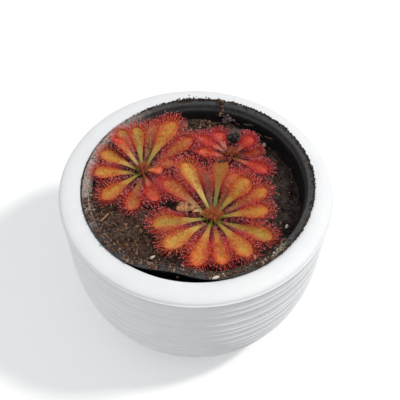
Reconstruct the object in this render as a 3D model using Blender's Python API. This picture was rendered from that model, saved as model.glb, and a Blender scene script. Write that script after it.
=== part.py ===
"""A potted sundew: rosettes of spoon-shaped leaves in a black nursery pot inside a white ribbed cachepot.

Metres, +Z up. The origin is the middle of the cachepot's foot, on the surface that the pot stands on.
-Y is the front. Sizes below are in millimetres and are turned into metres where the meshes are made.
"""

import math
from dataclasses import dataclass

import bmesh
import bpy
from mathutils import Vector

MM = 0.001
GAP = 0.3  # clearance between pieces that touch
SIDES = 40  # facets round each turned piece

# Cachepot: a bowl with a rolled lip, turned ribs and a foot ring
POT_HEIGHT = 70.0
POT_RADIUS = 53.2
POT_HOLE_RADIUS = 44.4
POT_WALL = 5.0
POT_FLOOR_TOP = 5.0
POT_SHOULDER_DEPTH = 25.7  # below the lip, where the wall starts to round in
POT_SHOULDER_RADIUS = 52.1
POT_BOWL_RADIUS = 30.5  # where the rounded wall meets the foot
POT_BOWL_BOTTOM = 1.6
FOOT_OUTER_RADIUS = 32.0
FOOT_INNER_RADIUS = 27.0
FOOT_RECESS = 1.2
FOOT_BEVEL = 0.6
LIP_CREST_RADIUS = 45.4
LIP_INNER_DROP = 1.0
LIP_OUTER_DROP = 2.6
LIP_INNER_DEPTH = 9.0  # where the straight hole below the lip ends
BOWL_DEPTHS = (67.6, 66.0, 63.0, 58.0)  # plain stations below the lowest rib, from the foot up
INNER_DEPTHS = (16.0, 28.0, 42.0, 54.0, 60.0)  # stations of the inner wall, from the lip down
FLOOR_ROUNDING = 3.0  # from the nursery pot's foot out to where the inner wall starts
RIB_DEPTHS = (3.1, 9.0, 12.6, 19.1, 24.1, 26.9, 31.2, 35.8, 39.4, 44.5, 48.5, 53.0)  # below the lip
RIB_HALF_WIDTH = 0.6
RIB_HEIGHT = 0.45

# Nursery pot: thin plastic, a little right of the middle, with its rim dented at the front left
NURSERY_OFFSET = 1.0
NURSERY_BOTTOM = POT_FLOOR_TOP + GAP
NURSERY_TOP = POT_HEIGHT + 1.0
NURSERY_RIM_RADIUS = 44.8
NURSERY_RIM_THICKNESS = 0.7
NURSERY_WALL = 0.9
COLLAR_TOP_RADIUS = 42.6
COLLAR_BOTTOM_RADIUS = 42.1
COLLAR_HEIGHT = 9.0
COLLAR_STEP = 1.2
STEP_TOP = NURSERY_TOP - COLLAR_HEIGHT
STEP_BOTTOM = STEP_TOP - 1.0
STEP_EASE = 0.4  # how much lower and higher the step is on its inside
DENT_START = 48.0  # a station just above where the dent starts to show
NURSERY_FOOT_RADIUS = 31.5
DRAIN_HOLES = 8
DRAIN_HOLE_RADIUS = 3.5
DRAIN_CIRCLE_RADIUS = 23.0
DENT_DEPTH = 3.2
DENT_AZIMUTH = -102.0
DENT_SPREAD = 15.0
OVAL_DEPTH = 0.7  # the rim is a little oval as well, longest along this azimuth
OVAL_AZIMUTH = 50.0
TRUE_BELOW = 45.0  # dent and oval fade out below this height

# Soil
SOIL_LOW = 60.6  # at the back right
SOIL_RISE = 5.6  # from there to the front left
SOIL_HIGH_AZIMUTH = -139.0
SOIL_RINGS = 9
SOIL_BUMP = 0.35
SOIL_GAP = 0.5  # clearance to the nursery pot's wall, wider than GAP because both are out of round

# Leaves
LEAF_STATIONS = 10
LEAF_THICKNESS = 0.8
LEAF_SECTION = ((-1, 0), (-0.5, -1), (0.5, -1), (1, 0), (0.5, 1), (-0.5, 1))  # across and up, as shares
LEAF_BASE_WIDTH = 1.5
LEAF_WIDEST = 0.8  # along the leaf, from its base to its tip
TIER_RISE = 1.25  # from one whorl of leaf bases to the next


@dataclass
class Leaf:
    """One leaf: where it points, how far it reaches, and its blade."""

    azimuth: float  # degrees, counter-clockwise from +X
    reach: float  # mm, level distance from the crown's axis to the tip
    rise: float  # mm, height of the tip above the leaf's base
    blade: float  # mm, width of the blade
    tier: int = 0  # whorl that it grows from, 0 is the lowest
    arch: float = 0.6  # mm, how far the middle stands above the straight line
    sway: float = 0.0  # mm, how far the middle bends to the left, seen from the crown
    roll: float = 0.0  # degrees, turn of the blade about its own length
    cup: float = 0.5  # mm, how far the blade's edges curl up
    taper: float = 1.35  # 1 for a plain wedge, 2 and over for a blade on a slim stalk


@dataclass
class Rosette:
    """A crown and the leaves round it."""

    name: str
    x: float
    y: float
    base: float  # mm, height of the lowest leaf bases
    crown_radius: float
    crown_top: float
    leaves: tuple


FRONT = Rosette("front", 6.6, -12.8, 64.3, 2.2, 68.6, (
    Leaf(79, 15.9, 14.6, 6.6, tier=2, arch=1.0, cup=0.4, taper=2.0),
    Leaf(44, 18.9, 7.0, 8.2, tier=1, arch=1.2),
    Leaf(24, 22.4, 7.4, 7.0, tier=0, arch=1.0),
    Leaf(-1, 20.7, 5.4, 7.2, tier=1, arch=0.8),
    Leaf(-28, 24.7, 4.4, 7.0, tier=0, arch=1.0),
    Leaf(-56, 23.9, 3.6, 7.8, tier=1, arch=1.0),
    Leaf(-80, 23.1, 3.6, 7.6, tier=0, arch=1.0),
    Leaf(-104, 24.5, 2.6, 7.4, tier=1, arch=1.0),
    Leaf(-134, 24.5, 5.6, 7.8, tier=0, arch=1.4),
    Leaf(-160, 23.4, 4.6, 7.8, tier=1, arch=0.8),
    Leaf(146, 22.8, 6.4, 7.0, tier=0, arch=1.3),
    Leaf(121, 22.9, 7.0, 6.6, tier=2, arch=1.0),
    Leaf(100, 19.9, 5.6, 6.4, tier=0, arch=0.6),
    Leaf(64, 21.2, 4.6, 6.8, tier=0, arch=0.6),
))
WITHERED = Leaf(169, 14.4, 2.0, 4.2, tier=1, arch=1.2, sway=-1.0, roll=35, cup=1.2)
LEFT = Rosette("left", -21.4, 8.7, 64.7, 1.9, 68.3, (
    Leaf(81, 22.7, 3.8, 6.8, tier=0),
    Leaf(62, 25.0, 5.4, 8.4, tier=1, arch=1.0),
    Leaf(38, 24.1, 4.8, 7.0, tier=0),
    Leaf(17, 12.7, 1.4, 5.6, tier=1),
    Leaf(-99, 20.7, 2.6, 6.8, tier=0),
    Leaf(-131, 21.4, 2.2, 7.0, tier=1),
    Leaf(-163, 18.8, 5.8, 6.6, tier=0, arch=1.0),
    Leaf(165, 16.9, 5.0, 6.2, tier=1, arch=0.8),
    Leaf(140, 15.3, 6.6, 5.4, tier=2, arch=0.8, roll=-30, cup=1.2),
    Leaf(122, 19.4, 6.8, 5.8, tier=0, arch=1.0),
    Leaf(101, 18.8, 4.2, 6.0, tier=2),
    Leaf(-21, 8.5, 1.8, 4.0, tier=1),
    Leaf(-69, 17.6, 2.4, 6.4, tier=1),
    Leaf(-43, 13.6, 1.2, 5.8, tier=0),
))
BACK = Rosette("back", 13.3, 19.3, 62.8, 1.7, 66.0, (
    Leaf(121, 11.0, 4.8, 6.0, tier=0, arch=0.8),
    Leaf(-172, 12.8, 4.0, 5.4, tier=1),
    Leaf(31, 10.8, 5.2, 6.0, tier=1, arch=0.8),
    Leaf(2, 12.0, 4.0, 5.4, tier=0),
    Leaf(-38, 18.4, 4.0, 6.0, tier=1),
    Leaf(48, 10.6, 4.6, 5.2, tier=0),
    Leaf(154, 14.4, 2.6, 5.2, tier=2),
))

# Loose bits: x, y, length, width, turn in degrees; the last one lies on the black rim
CHIPS = (
    (-18.0, -34.3, 2.0, 1.1, 120.0),
    (-15.2, -32.4, 2.5, 1.0, 28.0),
    (22.3, -29.4, 1.6, 1.1, 40.0),
    (27.7, 29.0, 2.5, 1.5, 5.0),
    (34.9, -14.2, 2.2, 1.1, 150.0),
    (7.8, -43.5, 2.7, 1.2, 20.0),
)
CHIP_THICKNESS = 0.6
STRAW_FROM = (-36.0, -17.2)
STRAW_TO = (-33.0, -12.8)
STRAW_RADIUS = 0.3
CRUMB_AZIMUTH = 79.0
CRUMB_RADIUS = 1.9
CRUMB_INSET = 1.7

COLOURS = {
    "glaze": ((0.86, 0.87, 0.88), 0.55),
    "black_plastic": ((0.02, 0.021, 0.022), 0.45),
    "peat": ((0.05, 0.028, 0.02), 0.95),
    "leaf": ((0.42, 0.16, 0.03), 0.45),
    "red_leaf": ((0.42, 0.06, 0.03), 0.45),
    "crown": ((0.36, 0.12, 0.03), 0.5),
    "dead_leaf": ((0.45, 0.25, 0.13), 0.8),
    "straw": ((0.55, 0.38, 0.2), 0.7),
}


def material(name):
    """The finish of this name, made once."""
    found = bpy.data.materials.get(name)
    if found:
        return found
    colour, roughness = COLOURS[name]
    made = bpy.data.materials.new(name)
    made.use_nodes = True
    shader = made.node_tree.nodes["Principled BSDF"]
    shader.inputs["Base Color"].default_value = (*colour, 1.0)
    shader.inputs["Roughness"].default_value = roughness
    shader.inputs["Metallic"].default_value = 0.0
    return made


def add_object(name, points, faces, finish, origin=(0.0, 0.0, 0.0)):
    """A mesh object from points in mm about an origin in mm, with its faces turned outwards."""
    mesh = bpy.data.meshes.new(name)
    mesh.from_pydata([Vector(p) * MM for p in points], [], faces)
    shaped = bmesh.new()
    shaped.from_mesh(mesh)
    bmesh.ops.recalc_face_normals(shaped, faces=shaped.faces)
    shaped.to_mesh(mesh)
    shaped.free()
    mesh.shade_smooth()
    mesh.set_sharp_from_angle(angle=math.radians(40))
    mesh.materials.append(material(finish))
    made = bpy.data.objects.new(name, mesh)
    made.location = Vector(origin) * MM
    bpy.context.collection.objects.link(made)
    return made


def turned(profile, sides=SIDES, shift=lambda angle, z: 0.0):
    """Points and faces of a profile of (radius, z) turned about Z. Both ends lie on the axis.

    shift gives how far a point at an angle and height moves outwards, to make a piece out of round.
    """
    (_, first_z), *middle, (_, last_z) = profile
    points = []
    for radius, z in middle:
        for i in range(sides):
            angle = 2 * math.pi * i / sides
            r = radius + shift(angle, z)
            points.append((r * math.cos(angle), r * math.sin(angle), z))
    first, last = len(points), len(points) + 1
    points += [(0.0, 0.0, first_z), (0.0, 0.0, last_z)]
    faces = []
    end = (len(middle) - 1) * sides
    for i in range(sides):
        j = (i + 1) % sides
        faces.append((first, i, j))
        faces.append((last, end + j, end + i))
        for row in range(0, end, sides):
            faces.append((row + i, row + sides + i, row + sides + j, row + j))
    return points, faces


def pot_radius(depth):
    """Outer radius of the cachepot's plain wall below the lip: a cone, then a quarter ellipse."""
    if depth < POT_SHOULDER_DEPTH:
        return POT_RADIUS + (POT_SHOULDER_RADIUS - POT_RADIUS) * depth / POT_SHOULDER_DEPTH
    bowl = POT_HEIGHT - POT_BOWL_BOTTOM - POT_SHOULDER_DEPTH
    share = min(1.0, (depth - POT_SHOULDER_DEPTH) / bowl)
    return POT_BOWL_RADIUS + (POT_SHOULDER_RADIUS - POT_BOWL_RADIUS) * math.sqrt(1 - share * share)


def arc(centre, radii, start, end, steps):
    """Points of an ellipse arc about centre, from start to end in degrees."""
    turns = [math.radians(start + (end - start) * i / steps) for i in range(steps + 1)]
    return [(centre[0] + radii[0] * math.cos(a), centre[1] + radii[1] * math.sin(a)) for a in turns]


def cachepot():
    """Foot ring, ribbed bowl, rolled lip, inner wall and floor, as one turned profile."""
    bevel = FOOT_BEVEL
    profile = [(0.0, FOOT_RECESS), (FOOT_INNER_RADIUS, FOOT_RECESS), (FOOT_INNER_RADIUS + bevel, 0.0)]
    profile += [(FOOT_OUTER_RADIUS - bevel, 0.0), (FOOT_OUTER_RADIUS, bevel)]
    profile.append((FOOT_OUTER_RADIUS, POT_BOWL_BOTTOM))
    for depth in BOWL_DEPTHS:
        profile.append((pot_radius(depth), POT_HEIGHT - depth))
    for depth in reversed(RIB_DEPTHS):
        for offset, height in ((RIB_HALF_WIDTH, 0.0), (0.0, RIB_HEIGHT), (-RIB_HALF_WIDTH, 0.0)):
            at = depth + offset
            profile.append((pot_radius(at) - RIB_HEIGHT + height, POT_HEIGHT - at))
    lip_width = POT_RADIUS - RIB_HEIGHT - LIP_CREST_RADIUS
    crest = (LIP_CREST_RADIUS, POT_HEIGHT - LIP_OUTER_DROP)
    profile += arc(crest, (lip_width, LIP_OUTER_DROP), 15, 90, 5)
    crest = (LIP_CREST_RADIUS, POT_HEIGHT - LIP_INNER_DROP)
    profile += arc(crest, (LIP_CREST_RADIUS - POT_HOLE_RADIUS, LIP_INNER_DROP), 90, 180, 4)[1:]
    profile.append((POT_HOLE_RADIUS, POT_HEIGHT - LIP_INNER_DEPTH))
    for depth in INNER_DEPTHS:
        profile.append((pot_radius(depth) - POT_WALL, POT_HEIGHT - depth))
    profile += [(NURSERY_FOOT_RADIUS + FLOOR_ROUNDING, POT_FLOOR_TOP), (0.0, POT_FLOOR_TOP)]
    add_object("cachepot", *turned(profile), "glaze")


def out_of_round(angle, z):
    """How far the nursery pot's wall lies outside its true circle: a dent and an oval, fading down."""
    away = (math.degrees(angle) - DENT_AZIMUTH + 180) % 360 - 180
    oval = OVAL_DEPTH * math.cos(2 * (angle - math.radians(OVAL_AZIMUTH)))
    share = max(0.0, min(1.0, (z - TRUE_BELOW) / (NURSERY_TOP - TRUE_BELOW)))
    fade = share * share * (3 - 2 * share)
    return (oval - DENT_DEPTH * math.exp(-((away / DENT_SPREAD) ** 2))) * fade


def nursery_radius(z):
    """Outer radius of the nursery pot's wall at a height: a tapered body, a step and a collar."""
    if z >= STEP_TOP:
        share = (z - STEP_TOP) / COLLAR_HEIGHT
        return COLLAR_BOTTOM_RADIUS + (COLLAR_TOP_RADIUS - COLLAR_BOTTOM_RADIUS) * share
    share = (z - NURSERY_BOTTOM) / (STEP_TOP - NURSERY_BOTTOM)
    return NURSERY_FOOT_RADIUS + (COLLAR_BOTTOM_RADIUS - COLLAR_STEP - NURSERY_FOOT_RADIUS) * share


def nursery_pot():
    """A thin cup with a stepped collar, an out-turned rim and drain holes."""
    rim_bottom = NURSERY_TOP - NURSERY_RIM_THICKNESS
    mid = (NURSERY_BOTTOM + STEP_BOTTOM) / 2
    outside = [(0.0, NURSERY_BOTTOM), (NURSERY_FOOT_RADIUS - 0.8, NURSERY_BOTTOM)]
    levels = (NURSERY_BOTTOM + 0.8, mid, DENT_START, STEP_BOTTOM, STEP_TOP)
    outside += [(nursery_radius(z), z) for z in levels]
    outside += [(COLLAR_TOP_RADIUS, rim_bottom), (NURSERY_RIM_RADIUS - 0.25, rim_bottom)]
    outside += [(NURSERY_RIM_RADIUS, rim_bottom + 0.25), (NURSERY_RIM_RADIUS - 0.3, NURSERY_TOP)]
    inside = [(COLLAR_TOP_RADIUS - NURSERY_WALL + 0.4, NURSERY_TOP)]
    floor = NURSERY_BOTTOM + NURSERY_WALL
    levels = (rim_bottom, STEP_TOP + STEP_EASE, STEP_BOTTOM - STEP_EASE, DENT_START, mid, floor)
    inside += [(nursery_radius(z) - NURSERY_WALL, z) for z in levels]
    inside.append((0.0, floor))
    points, faces = turned(outside + inside, shift=out_of_round)
    pot = add_object("nursery_pot", points, faces, "black_plastic", (NURSERY_OFFSET, 0.0, 0.0))
    for i in range(DRAIN_HOLES):
        angle = 2 * math.pi * (i + 0.5) / DRAIN_HOLES
        low, high = NURSERY_BOTTOM - 1.0, floor + 1.0
        ends = [(0.0, low), (DRAIN_HOLE_RADIUS, low), (DRAIN_HOLE_RADIUS, high), (0.0, high)]
        points, faces = turned(ends, sides=12)
        x = NURSERY_OFFSET + DRAIN_CIRCLE_RADIUS * math.cos(angle)
        y = DRAIN_CIRCLE_RADIUS * math.sin(angle)
        cutter = add_object(f"drain_cutter_{i}", points, faces, "black_plastic", (x, y, 0.0))
        cutter.hide_render = True
        cutter.display_type = "WIRE"
        cut = pot.modifiers.new(f"drain_{i}", "BOOLEAN")
        cut.operation = "DIFFERENCE"
        cut.object = cutter
        cut.solver = "EXACT"


def soil_height(x, y):
    """Height of the soil's surface: a slope that steepens towards its high side, with soft bumps."""
    high = math.radians(SOIL_HIGH_AZIMUTH)
    across = (x * math.cos(high) + y * math.sin(high)) / COLLAR_BOTTOM_RADIUS
    slope = SOIL_RISE * max(0.0, 0.5 + 0.5 * across) ** 1.3
    bumps = math.sin(0.55 * x + 1.1) * math.cos(0.48 * y) + math.sin(0.31 * y - 0.4 * x)
    return SOIL_LOW + slope + SOIL_BUMP * bumps


def soil_radius(z):
    """Radius of the soil's side at a height, just inside the nursery pot's wall and its step."""
    top = STEP_TOP + STEP_EASE
    bottom = STEP_BOTTOM - STEP_EASE
    if bottom < z < top:
        share = (z - bottom) / (top - bottom)
        low, high = nursery_radius(bottom), nursery_radius(top)
        return low + (high - low) * share - NURSERY_WALL - SOIL_GAP
    return nursery_radius(z) - NURSERY_WALL - SOIL_GAP


def soil():
    """Fills the nursery pot up to soil_height, a gap's width from its wall."""
    bottom = NURSERY_BOTTOM + NURSERY_WALL + GAP
    step = STEP_BOTTOM - STEP_EASE
    mid = (NURSERY_BOTTOM + STEP_BOTTOM) / 2
    levels = (bottom, mid, DENT_START, step - 4.6, step, step + 1.9)
    points, faces = [], []
    edges = []
    for i in range(SIDES):
        angle = 2 * math.pi * i / SIDES
        r = soil_radius(SOIL_LOW)
        edge = soil_height(r * math.cos(angle), r * math.sin(angle))
        edges.append((angle, edge, soil_radius(edge) + out_of_round(angle, edge)))
    for row, level in enumerate(levels):
        below_edge = 0.3 * (len(levels) - row)
        for angle, edge, _ in edges:
            z = min(level, edge - below_edge)
            r = soil_radius(z) + out_of_round(angle, z)
            points.append((r * math.cos(angle), r * math.sin(angle), z))
    for ring in range(SOIL_RINGS):
        for angle, edge, rim in edges:
            r = rim * (1 - ring / SOIL_RINGS)
            x, y = r * math.cos(angle), r * math.sin(angle)
            points.append((x, y, soil_height(x, y) if ring else edge))
    bottom_centre, top_centre = len(points), len(points) + 1
    points += [(0.0, 0.0, bottom), (0.0, 0.0, soil_height(0.0, 0.0))]
    end = (len(levels) + SOIL_RINGS - 1) * SIDES
    for i in range(SIDES):
        j = (i + 1) % SIDES
        faces.append((bottom_centre, j, i))
        faces.append((top_centre, end + i, end + j))
        for row in range(0, end, SIDES):
            faces.append((row + i, row + j, row + SIDES + j, row + SIDES + i))
    add_object("soil", points, faces, "peat", (NURSERY_OFFSET, 0.0, 0.0))


def leaf_width(s, leaf):
    """Width at s, 0 at the base and 1 at the tip: a wedge that swells to its widest and ends round."""
    swell = math.sin(min(1.0, s / LEAF_WIDEST) ** leaf.taper * math.pi / 2) ** 2
    past = min(0.985, max(0.0, (s - LEAF_WIDEST) / (1 - LEAF_WIDEST)))
    return (LEAF_BASE_WIDTH + (leaf.blade - LEAF_BASE_WIDTH) * swell) * math.sqrt(1 - past * past)


def add_leaf(name, rosette, leaf, finish):
    """A leaf as six-sided sections carried along an arched line from the crown to the tip."""
    out = Vector((math.cos(math.radians(leaf.azimuth)), math.sin(math.radians(leaf.azimuth)), 0.0))
    side = Vector((-out.y, out.x, 0.0))
    start = rosette.crown_radius + 2 * GAP
    points, faces = [], []
    stations = [math.sin(math.pi / 2 * i / (LEAF_STATIONS - 1)) for i in range(LEAF_STATIONS)]
    for s in stations:
        bulge = 4 * s * (1 - s)
        centre = out * (start + (leaf.reach - start) * s) + side * leaf.sway * bulge
        centre.z = leaf.tier * TIER_RISE + leaf.rise * s + leaf.arch * bulge
        along = out * (leaf.reach - start) + side * leaf.sway * 4 * (1 - 2 * s)
        along.z = leaf.rise + leaf.arch * 4 * (1 - 2 * s)
        along.normalize()
        turn = math.radians(leaf.roll) * s
        level = side * math.cos(turn) + along.cross(side) * -math.sin(turn)
        normal = along.cross(level).normalized()
        half = leaf_width(s, leaf) / 2
        curl = leaf.cup * half / (leaf.blade / 2)
        for across, up in LEAF_SECTION:
            lift = up * LEAF_THICKNESS / 2 + curl * across * across
            points.append(tuple(centre + level * half * across + normal * lift))
    for row in range(len(stations) - 1):
        for i in range(6):
            j = (i + 1) % 6
            faces.append((row * 6 + i, row * 6 + j, row * 6 + 6 + j, row * 6 + 6 + i))
    last = (len(stations) - 1) * 6
    faces.append(tuple(range(5, -1, -1)))
    faces.append(tuple(range(last, last + 6)))
    add_object(name, points, faces, finish, (rosette.x, rosette.y, rosette.base))


def add_crown(rosette):
    """A short stem that ends in a lobed dome of furled young leaves."""
    bottom = soil_height(rosette.x - NURSERY_OFFSET, rosette.y) + 0.9 - rosette.base
    top = rosette.crown_top - rosette.base
    r = rosette.crown_radius
    profile = [(0.0, bottom), (r * 0.8, bottom), (r * 0.98, bottom + 0.8), (r, top * 0.5)]
    profile += [(r * 0.9, top * 0.78), (r * 0.55, top * 0.95), (0.0, top)]
    lobes = 5

    def lobed(angle, z):
        return -0.22 * r * (0.5 - 0.5 * math.cos(lobes * angle)) * max(0.0, z / top)

    origin = (rosette.x, rosette.y, rosette.base)
    add_object(f"{rosette.name}_crown", *turned(profile, sides=20, shift=lobed), "crown", origin)


def add_blob(name, centre, radii, turn, finish):
    """A rough pebble: a low icosphere, squashed to radii and turned about Z."""
    mesh = bpy.data.meshes.new(name)
    shaped = bmesh.new()
    bmesh.ops.create_icosphere(shaped, subdivisions=1, radius=1.0)
    for v in shaped.verts:
        rough = 1 + 0.12 * math.sin(7 * v.co.x + 3 * v.co.y + 5 * v.co.z)
        v.co = Vector((v.co.x * radii[0], v.co.y * radii[1], v.co.z * radii[2])) * rough * MM
    shaped.to_mesh(mesh)
    shaped.free()
    mesh.materials.append(material(finish))
    made = bpy.data.objects.new(name, mesh)
    made.location = Vector(centre) * MM
    made.rotation_euler.z = math.radians(turn)
    bpy.context.collection.objects.link(made)


def loose_bits():
    """Pale chips and a straw on the soil, and a crumb of soil and a last chip on the black rim."""
    for number, (x, y, length, width, turn) in enumerate(CHIPS, 1):
        seat = soil_height(x - NURSERY_OFFSET, y) if number < len(CHIPS) else NURSERY_TOP
        radii = (length / 2, width / 2, CHIP_THICKNESS / 2)
        centre = (x, y, seat + CHIP_THICKNESS / 2 + 2 * GAP)
        add_blob(f"pale_chip_{number}", centre, radii, turn, "straw")
    ends = []
    for x, y in (STRAW_FROM, STRAW_TO):
        ends.append(Vector((x, y, soil_height(x - NURSERY_OFFSET, y) + STRAW_RADIUS + 0.5)))
    middle = (ends[0] + ends[1]) / 2 + Vector((0.4, -0.4, 0.5))
    curve = bpy.data.curves.new("straw_fibre", "CURVE")
    curve.dimensions = "3D"
    curve.bevel_depth = STRAW_RADIUS * MM
    curve.bevel_resolution = 1
    curve.use_fill_caps = True
    line = curve.splines.new("POLY")
    line.points.add(4)
    for i, point in enumerate(line.points):
        t = i / 4
        at = ends[0] * (1 - t) ** 2 + middle * 2 * t * (1 - t) + ends[1] * t * t
        point.co = (*(at * MM), 1.0)
    curve.materials.append(material("straw"))
    bpy.context.collection.objects.link(bpy.data.objects.new("straw_fibre", curve))
    angle = math.radians(CRUMB_AZIMUTH)
    x = NURSERY_OFFSET + (NURSERY_RIM_RADIUS - CRUMB_INSET) * math.cos(angle)
    y = (NURSERY_RIM_RADIUS - CRUMB_INSET) * math.sin(angle)
    radii = (CRUMB_RADIUS, CRUMB_RADIUS * 0.75, CRUMB_RADIUS * 0.5)
    add_blob("rim_soil_crumb", (x, y, NURSERY_TOP + radii[2] + GAP), radii, 20, "peat")


def main():
    for old in list(bpy.data.objects):
        bpy.data.objects.remove(old)
    cachepot()
    nursery_pot()
    soil()
    for rosette, finish in ((FRONT, "leaf"), (LEFT, "leaf"), (BACK, "red_leaf")):
        add_crown(rosette)
        for number, leaf in enumerate(rosette.leaves, 1):
            add_leaf(f"{rosette.name}_leaf_{number:02d}", rosette, leaf, finish)
    add_leaf("front_leaf_withered", FRONT, WITHERED, "dead_leaf")
    loose_bits()


main()
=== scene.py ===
"""Looks of a potted sundew.

Three rosettes of spoon-shaped leaves grow in peat, in a black nursery pot that stands in a white
ribbed cachepot. Constants and shape code are in millimetres in the CAD frame: +Z up, -Y the front, origin
in the middle of the cachepot's foot. A mesh becomes metres when it is made.
"""

import logging
import math
from dataclasses import dataclass, replace
from enum import Enum
from typing import Callable, Optional, Sequence, Union

import bpy
import numpy as np
from mathutils import Matrix, Vector


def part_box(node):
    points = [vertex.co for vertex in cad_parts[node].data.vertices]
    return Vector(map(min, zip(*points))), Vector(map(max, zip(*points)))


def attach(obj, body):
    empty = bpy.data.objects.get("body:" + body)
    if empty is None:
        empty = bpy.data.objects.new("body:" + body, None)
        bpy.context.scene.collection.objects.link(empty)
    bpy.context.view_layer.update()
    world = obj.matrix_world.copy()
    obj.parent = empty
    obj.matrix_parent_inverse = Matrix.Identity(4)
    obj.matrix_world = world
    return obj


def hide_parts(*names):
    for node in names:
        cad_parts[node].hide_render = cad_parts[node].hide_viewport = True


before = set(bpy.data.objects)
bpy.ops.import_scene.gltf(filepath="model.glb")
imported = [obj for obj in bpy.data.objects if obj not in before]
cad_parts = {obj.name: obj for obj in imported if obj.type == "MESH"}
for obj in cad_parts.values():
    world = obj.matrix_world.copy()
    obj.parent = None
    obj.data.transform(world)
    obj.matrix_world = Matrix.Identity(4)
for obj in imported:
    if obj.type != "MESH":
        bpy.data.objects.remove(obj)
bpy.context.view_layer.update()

LOG = logging.getLogger("sundew")
MM = 0.001
BODY = "root"
BAKE_MAP = "OFBake"
GOLDEN_ANGLE = 137.5  # degrees between one leaf of a spiral and the next
WHITE = (1.0, 1.0, 1.0)
Array = np.ndarray
Random = np.random.Generator
Colour = tuple[float, float, float]
Socket = bpy.types.NodeSocket
Source = Union[Socket, float, tuple]  # what an input takes: a node's output, or a value


def srgb(red: int, green: int, blue: int) -> Colour:
    """Linear colour from display values of 0 to 255: ((c + 0.055) / 1.055)^2.4, or c / 12.92 near 0."""
    shares = [value / 255 for value in (red, green, blue)]
    return tuple(c / 12.92 if c < 0.04045 else ((c + 0.055) / 1.055) ** 2.4 for c in shares)


def stops(*rows: tuple[float, int, int, int]) -> tuple[tuple[float, Colour], ...]:
    """Stops of a colour ramp, from rows of a position and a colour's display values."""
    return tuple((place, srgb(*colour)) for place, *colour in rows)


def smooth(value: Array, low: float, high: float) -> Array:
    """0 below low, 1 above high, and 3t^2 - 2t^3 between them."""
    t = np.clip((np.asarray(value, float) - low) / (high - low), 0, 1)
    return t * t * (3 - 2 * t)


def unit(vectors: Array) -> Array:
    """Each vector divided by its length."""
    return vectors / np.maximum(np.linalg.norm(vectors, axis=-1, keepdims=True), 1e-9)


def strips(u: Array, width: float = 0.04, foot: float = 0.0) -> tuple[Array, Array]:
    """Lowest and highest corners of an upright strip of the map for each u."""
    return np.stack([u, 0 * u + foot], 1), np.stack([u + width, 0 * u + 1], 1)


# ---------------------------------------------------------------- shapes


@dataclass
class Shape:
    """A mesh before Blender has it: points in mm, faces as runs of corners, and what a finish reads."""

    points: Array  # (n, 3)
    corners: Array  # (loops,) the point at each face corner
    sizes: Array  # (faces,) corners of each face
    uv: Array  # (loops, 2)
    tint: Optional[Array] = None  # (n, 4) linear colour of each point, and its share of blade

    @staticmethod
    def joined(shapes: Sequence["Shape"]) -> "Shape":
        """All the shapes as one, with each one's corners counted on from the points before it.

        Args:
            shapes: the shapes.

        Returns:
            The one shape; it has a tint if each of them has.
        """
        offsets = np.cumsum([0] + [len(s.points) for s in shapes[:-1]])
        tints = [s.tint for s in shapes]
        return Shape(
            np.concatenate([s.points for s in shapes]),
            np.concatenate([s.corners + offset for s, offset in zip(shapes, offsets)]),
            np.concatenate([s.sizes for s in shapes]),
            np.concatenate([s.uv for s in shapes]),
            None if any(t is None for t in tints) else np.concatenate(tints),
        )


def lofted(
    rings: Array, first: Array, last: Array, low: Optional[Array] = None, high: Optional[Array] = None
) -> Shape:
    """Closed bodies, each a stack of closed rings with a pole at either end.

    Row r and column c of a ring meet the next row and column in a four-cornered face, and each end ring
    meets its pole in triangles. The map's u runs round a ring and its v from the first pole to the last,
    inside the rectangle from low to high.

    Args:
        rings: (bodies, rows, cols, 3) points; a ring turns anticlockwise seen from the last row.
        first: (bodies, 3) poles before the first row.
        last: (bodies, 3) poles after the last row.
        low: (bodies, 2) lowest map corner of each body, 0 if left out.
        high: (bodies, 2) highest map corner of each body, 1 if left out.

    Returns:
        The bodies as one shape.
    """
    bodies, rows, cols, _ = rings.shape
    poles = np.stack([first, last], axis=1)
    points = np.concatenate([rings.reshape(bodies, rows * cols, 3), poles], axis=1)
    row, col = (a.ravel() for a in np.meshgrid(np.arange(rows - 1), np.arange(cols), indexing="ij"))
    here, after = row * cols + col, row * cols + (col + 1) % cols
    quads = np.stack([here, after, after + cols, here + cols], 1)
    quad_uv = [(col + across, row + 1 + up) for across, up in ((0, 0), (1, 0), (1, 1), (0, 1))]
    col = np.arange(cols)
    after = (col + 1) % cols
    end = (rows - 1) * cols
    start_fan = np.stack([np.full(cols, rows * cols), after, col], 1)
    end_fan = np.stack([np.full(cols, rows * cols + 1), end + col, end + after], 1)
    bottom, top = 0 * col, 0 * col + rows + 1
    start_uv = [(col + 0.5, bottom), (col + 1, bottom + 1), (col, bottom + 1)]
    end_uv = [(col + 0.5, top), (col, top - 1), (col + 1, top - 1)]
    corners = np.concatenate([quads.ravel(), start_fan.ravel(), end_fan.ravel()])
    sizes = np.concatenate([np.full(len(quads), 4), np.full(2 * cols, 3)])
    faces_uv = [np.moveaxis(np.array(group), 2, 0).reshape(-1, 2) for group in (quad_uv, start_uv, end_uv)]
    uv = np.concatenate(faces_uv) / (cols, rows + 1)
    low = np.zeros((bodies, 2)) if low is None else low
    high = np.ones((bodies, 2)) if high is None else high
    offsets = np.arange(bodies)[:, None] * (rows * cols + 2)
    return Shape(
        points.reshape(-1, 3),
        (corners[None] + offsets).ravel(),
        np.tile(sizes, bodies),
        (low[:, None] + uv[None] * (high - low)[:, None]).reshape(-1, 2),
    )


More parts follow.
